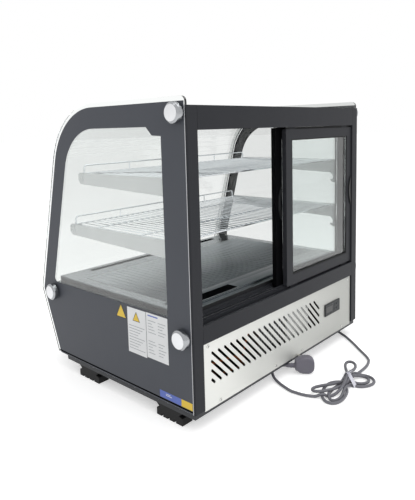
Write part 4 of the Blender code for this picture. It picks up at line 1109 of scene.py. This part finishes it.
def eased(points, radius, steps=6):
    """A line of points with its corners rounded."""
    points = [Vector(p) for p in points]
    out = [points[0]]
    for a, b, c in zip(points, points[1:], points[2:]):
        reach = min(radius, (a - b).length / 2, (c - b).length / 2)
        p, q = b + (a - b).normalized() * reach, b + (c - b).normalized() * reach
        out += [p.lerp(b, t).lerp(b.lerp(q, t), t) for t in np.linspace(0, 1, steps)]
    return [tuple(p) for p in [*out, points[-1]]]


PIPES = (
    (
        0.0030,
        [(0.210, 0.205, 0.060), (0.210, 0.226, 0.060), (0.150, 0.240, 0.060), (0.135, 0.250, 0.140),
         (0.118, 0.250, 0.150)],
    ),
    (
        0.0040,
        [(0.250, 0.205, 0.100), (0.250, 0.232, 0.100), (0.170, 0.240, 0.095), (0.140, 0.262, 0.050),
         (0.118, 0.262, 0.045)],
    ),
)
pipes = [bent_bar(eased(points, 0.012), radius, 12) for radius, points in PIPES]
piece(joined(pipes), "copper_pipes", FINISH["copper"], smooth=50)

# %% [markdown]
# ## Camera
# A normal lens, level with the upper part of the case, looks at the service side and one printed glass. The
# lens is shifted, so that the verticals stay nearly upright.

# %%
yaw, pitch, roll = math.radians(222.40), math.radians(-6.94), math.radians(-1.51)
forward = Vector((math.cos(pitch) * math.cos(yaw), math.cos(pitch) * math.sin(yaw), math.sin(pitch)))
level = Vector((math.sin(yaw), -math.cos(yaw), 0))
upward = level.cross(forward)
right = level * math.cos(roll) + upward * math.sin(roll)
above = upward * math.cos(roll) - level * math.sin(roll)
lens = bpy.data.cameras.new("camera")
lens.sensor_width = 36
lens.lens = 37.75
lens.shift_y = -0.117
lens.clip_start = 0.05
camera = bpy.data.objects.new("camera", lens)
bpy.context.scene.collection.objects.link(camera)
turn = Matrix((right, above, -forward)).transposed().to_4x4()
camera.matrix_world = Matrix.Translation((1.0685, 0.9883, 0.6246)) @ turn
bpy.context.scene.camera = camera
print("camera looks along", tuple(round(v, 3) for v in forward))

# %% [markdown]
# ## Floor and light
# The floor and the backdrop are white. They are lifted to pure white only where the camera sees them,
# straight on, in a reflection or through glass, so that they put no extra light on the case. The light is
# one broad soft lamp overhead, a weaker one from the side, and an even surround.

# %%
BRIGHT, SKY_LIGHT, FLOOR_GLOW, FLOOR_SIZE = 1.0, 0.72, 0.47, 60


def plain_view(tree):
    """One for the rays that show the surroundings: straight, reflected or through glass."""
    seen = add(tree, "ShaderNodeLightPath")
    shown = seen.outputs["Is Camera Ray"]
    for way in ("Is Glossy Ray", "Is Transmission Ray"):
        most = add(tree, "ShaderNodeMath", links={0: shown, 1: seen.outputs[way]}, operation="MAXIMUM")
        shown = most.outputs[0]
    return most


only()
bpy.ops.mesh.primitive_plane_add(size=FLOOR_SIZE)
floor = bpy.context.object
floor.name = "floor"
white, tree, shader = surface("matt white floor", "#e9e9e9", 0.9)
drift(tree, shader, "#e9e9e9", "#ebebeb", 900)
either = plain_view(tree)
lift = add(tree, "ShaderNodeMath", {1: FLOOR_GLOW}, {0: either.outputs[0]}, operation="MULTIPLY")
glow = add(tree, "ShaderNodeEmission", links={"Strength": lift.outputs[0]})
both = add(tree, "ShaderNodeAddShader", links={0: shader.outputs[0], 1: glow.outputs[0]})
tree.links.new(both.outputs[0], tree.nodes["Material Output"].inputs[0])
floor.data.materials.append(white)

world = bpy.data.worlds.new("studio")
world.use_nodes = True
bpy.context.scene.world = world
sky = world.node_tree
either = plain_view(sky)
level_of = add(
    sky, "ShaderNodeMapRange", {"To Min": SKY_LIGHT, "To Max": BRIGHT}, {"Value": either.outputs[0]},
)
background = sky.nodes["Background"]
background.inputs["Color"].default_value = (1, 1, 1, 1)
sky.links.new(level_of.outputs[0], background.inputs["Strength"])


def lamp(name, place, target, size, power):
    """A square soft lamp that faces a point."""
    light = bpy.data.lights.new(name, "AREA")
    light.size = size
    light.energy = power
    made = bpy.data.objects.new(name, light)
    bpy.context.scene.collection.objects.link(made)
    way = Vector(target) - Vector(place)
    made.matrix_world = Matrix.Translation(place) @ way.to_track_quat("-Z", "Y").to_matrix().to_4x4()
    return made


lamp("overhead softbox", (-0.2, 0.3, 2.4), (0, 0, 0.3), 2.2, 26)
lamp("side softbox", (1.0, 2.6, 1.5), (0, 0.1, 0.3), 1.6, 16)
bpy.context.scene.view_settings.view_transform = "Standard"
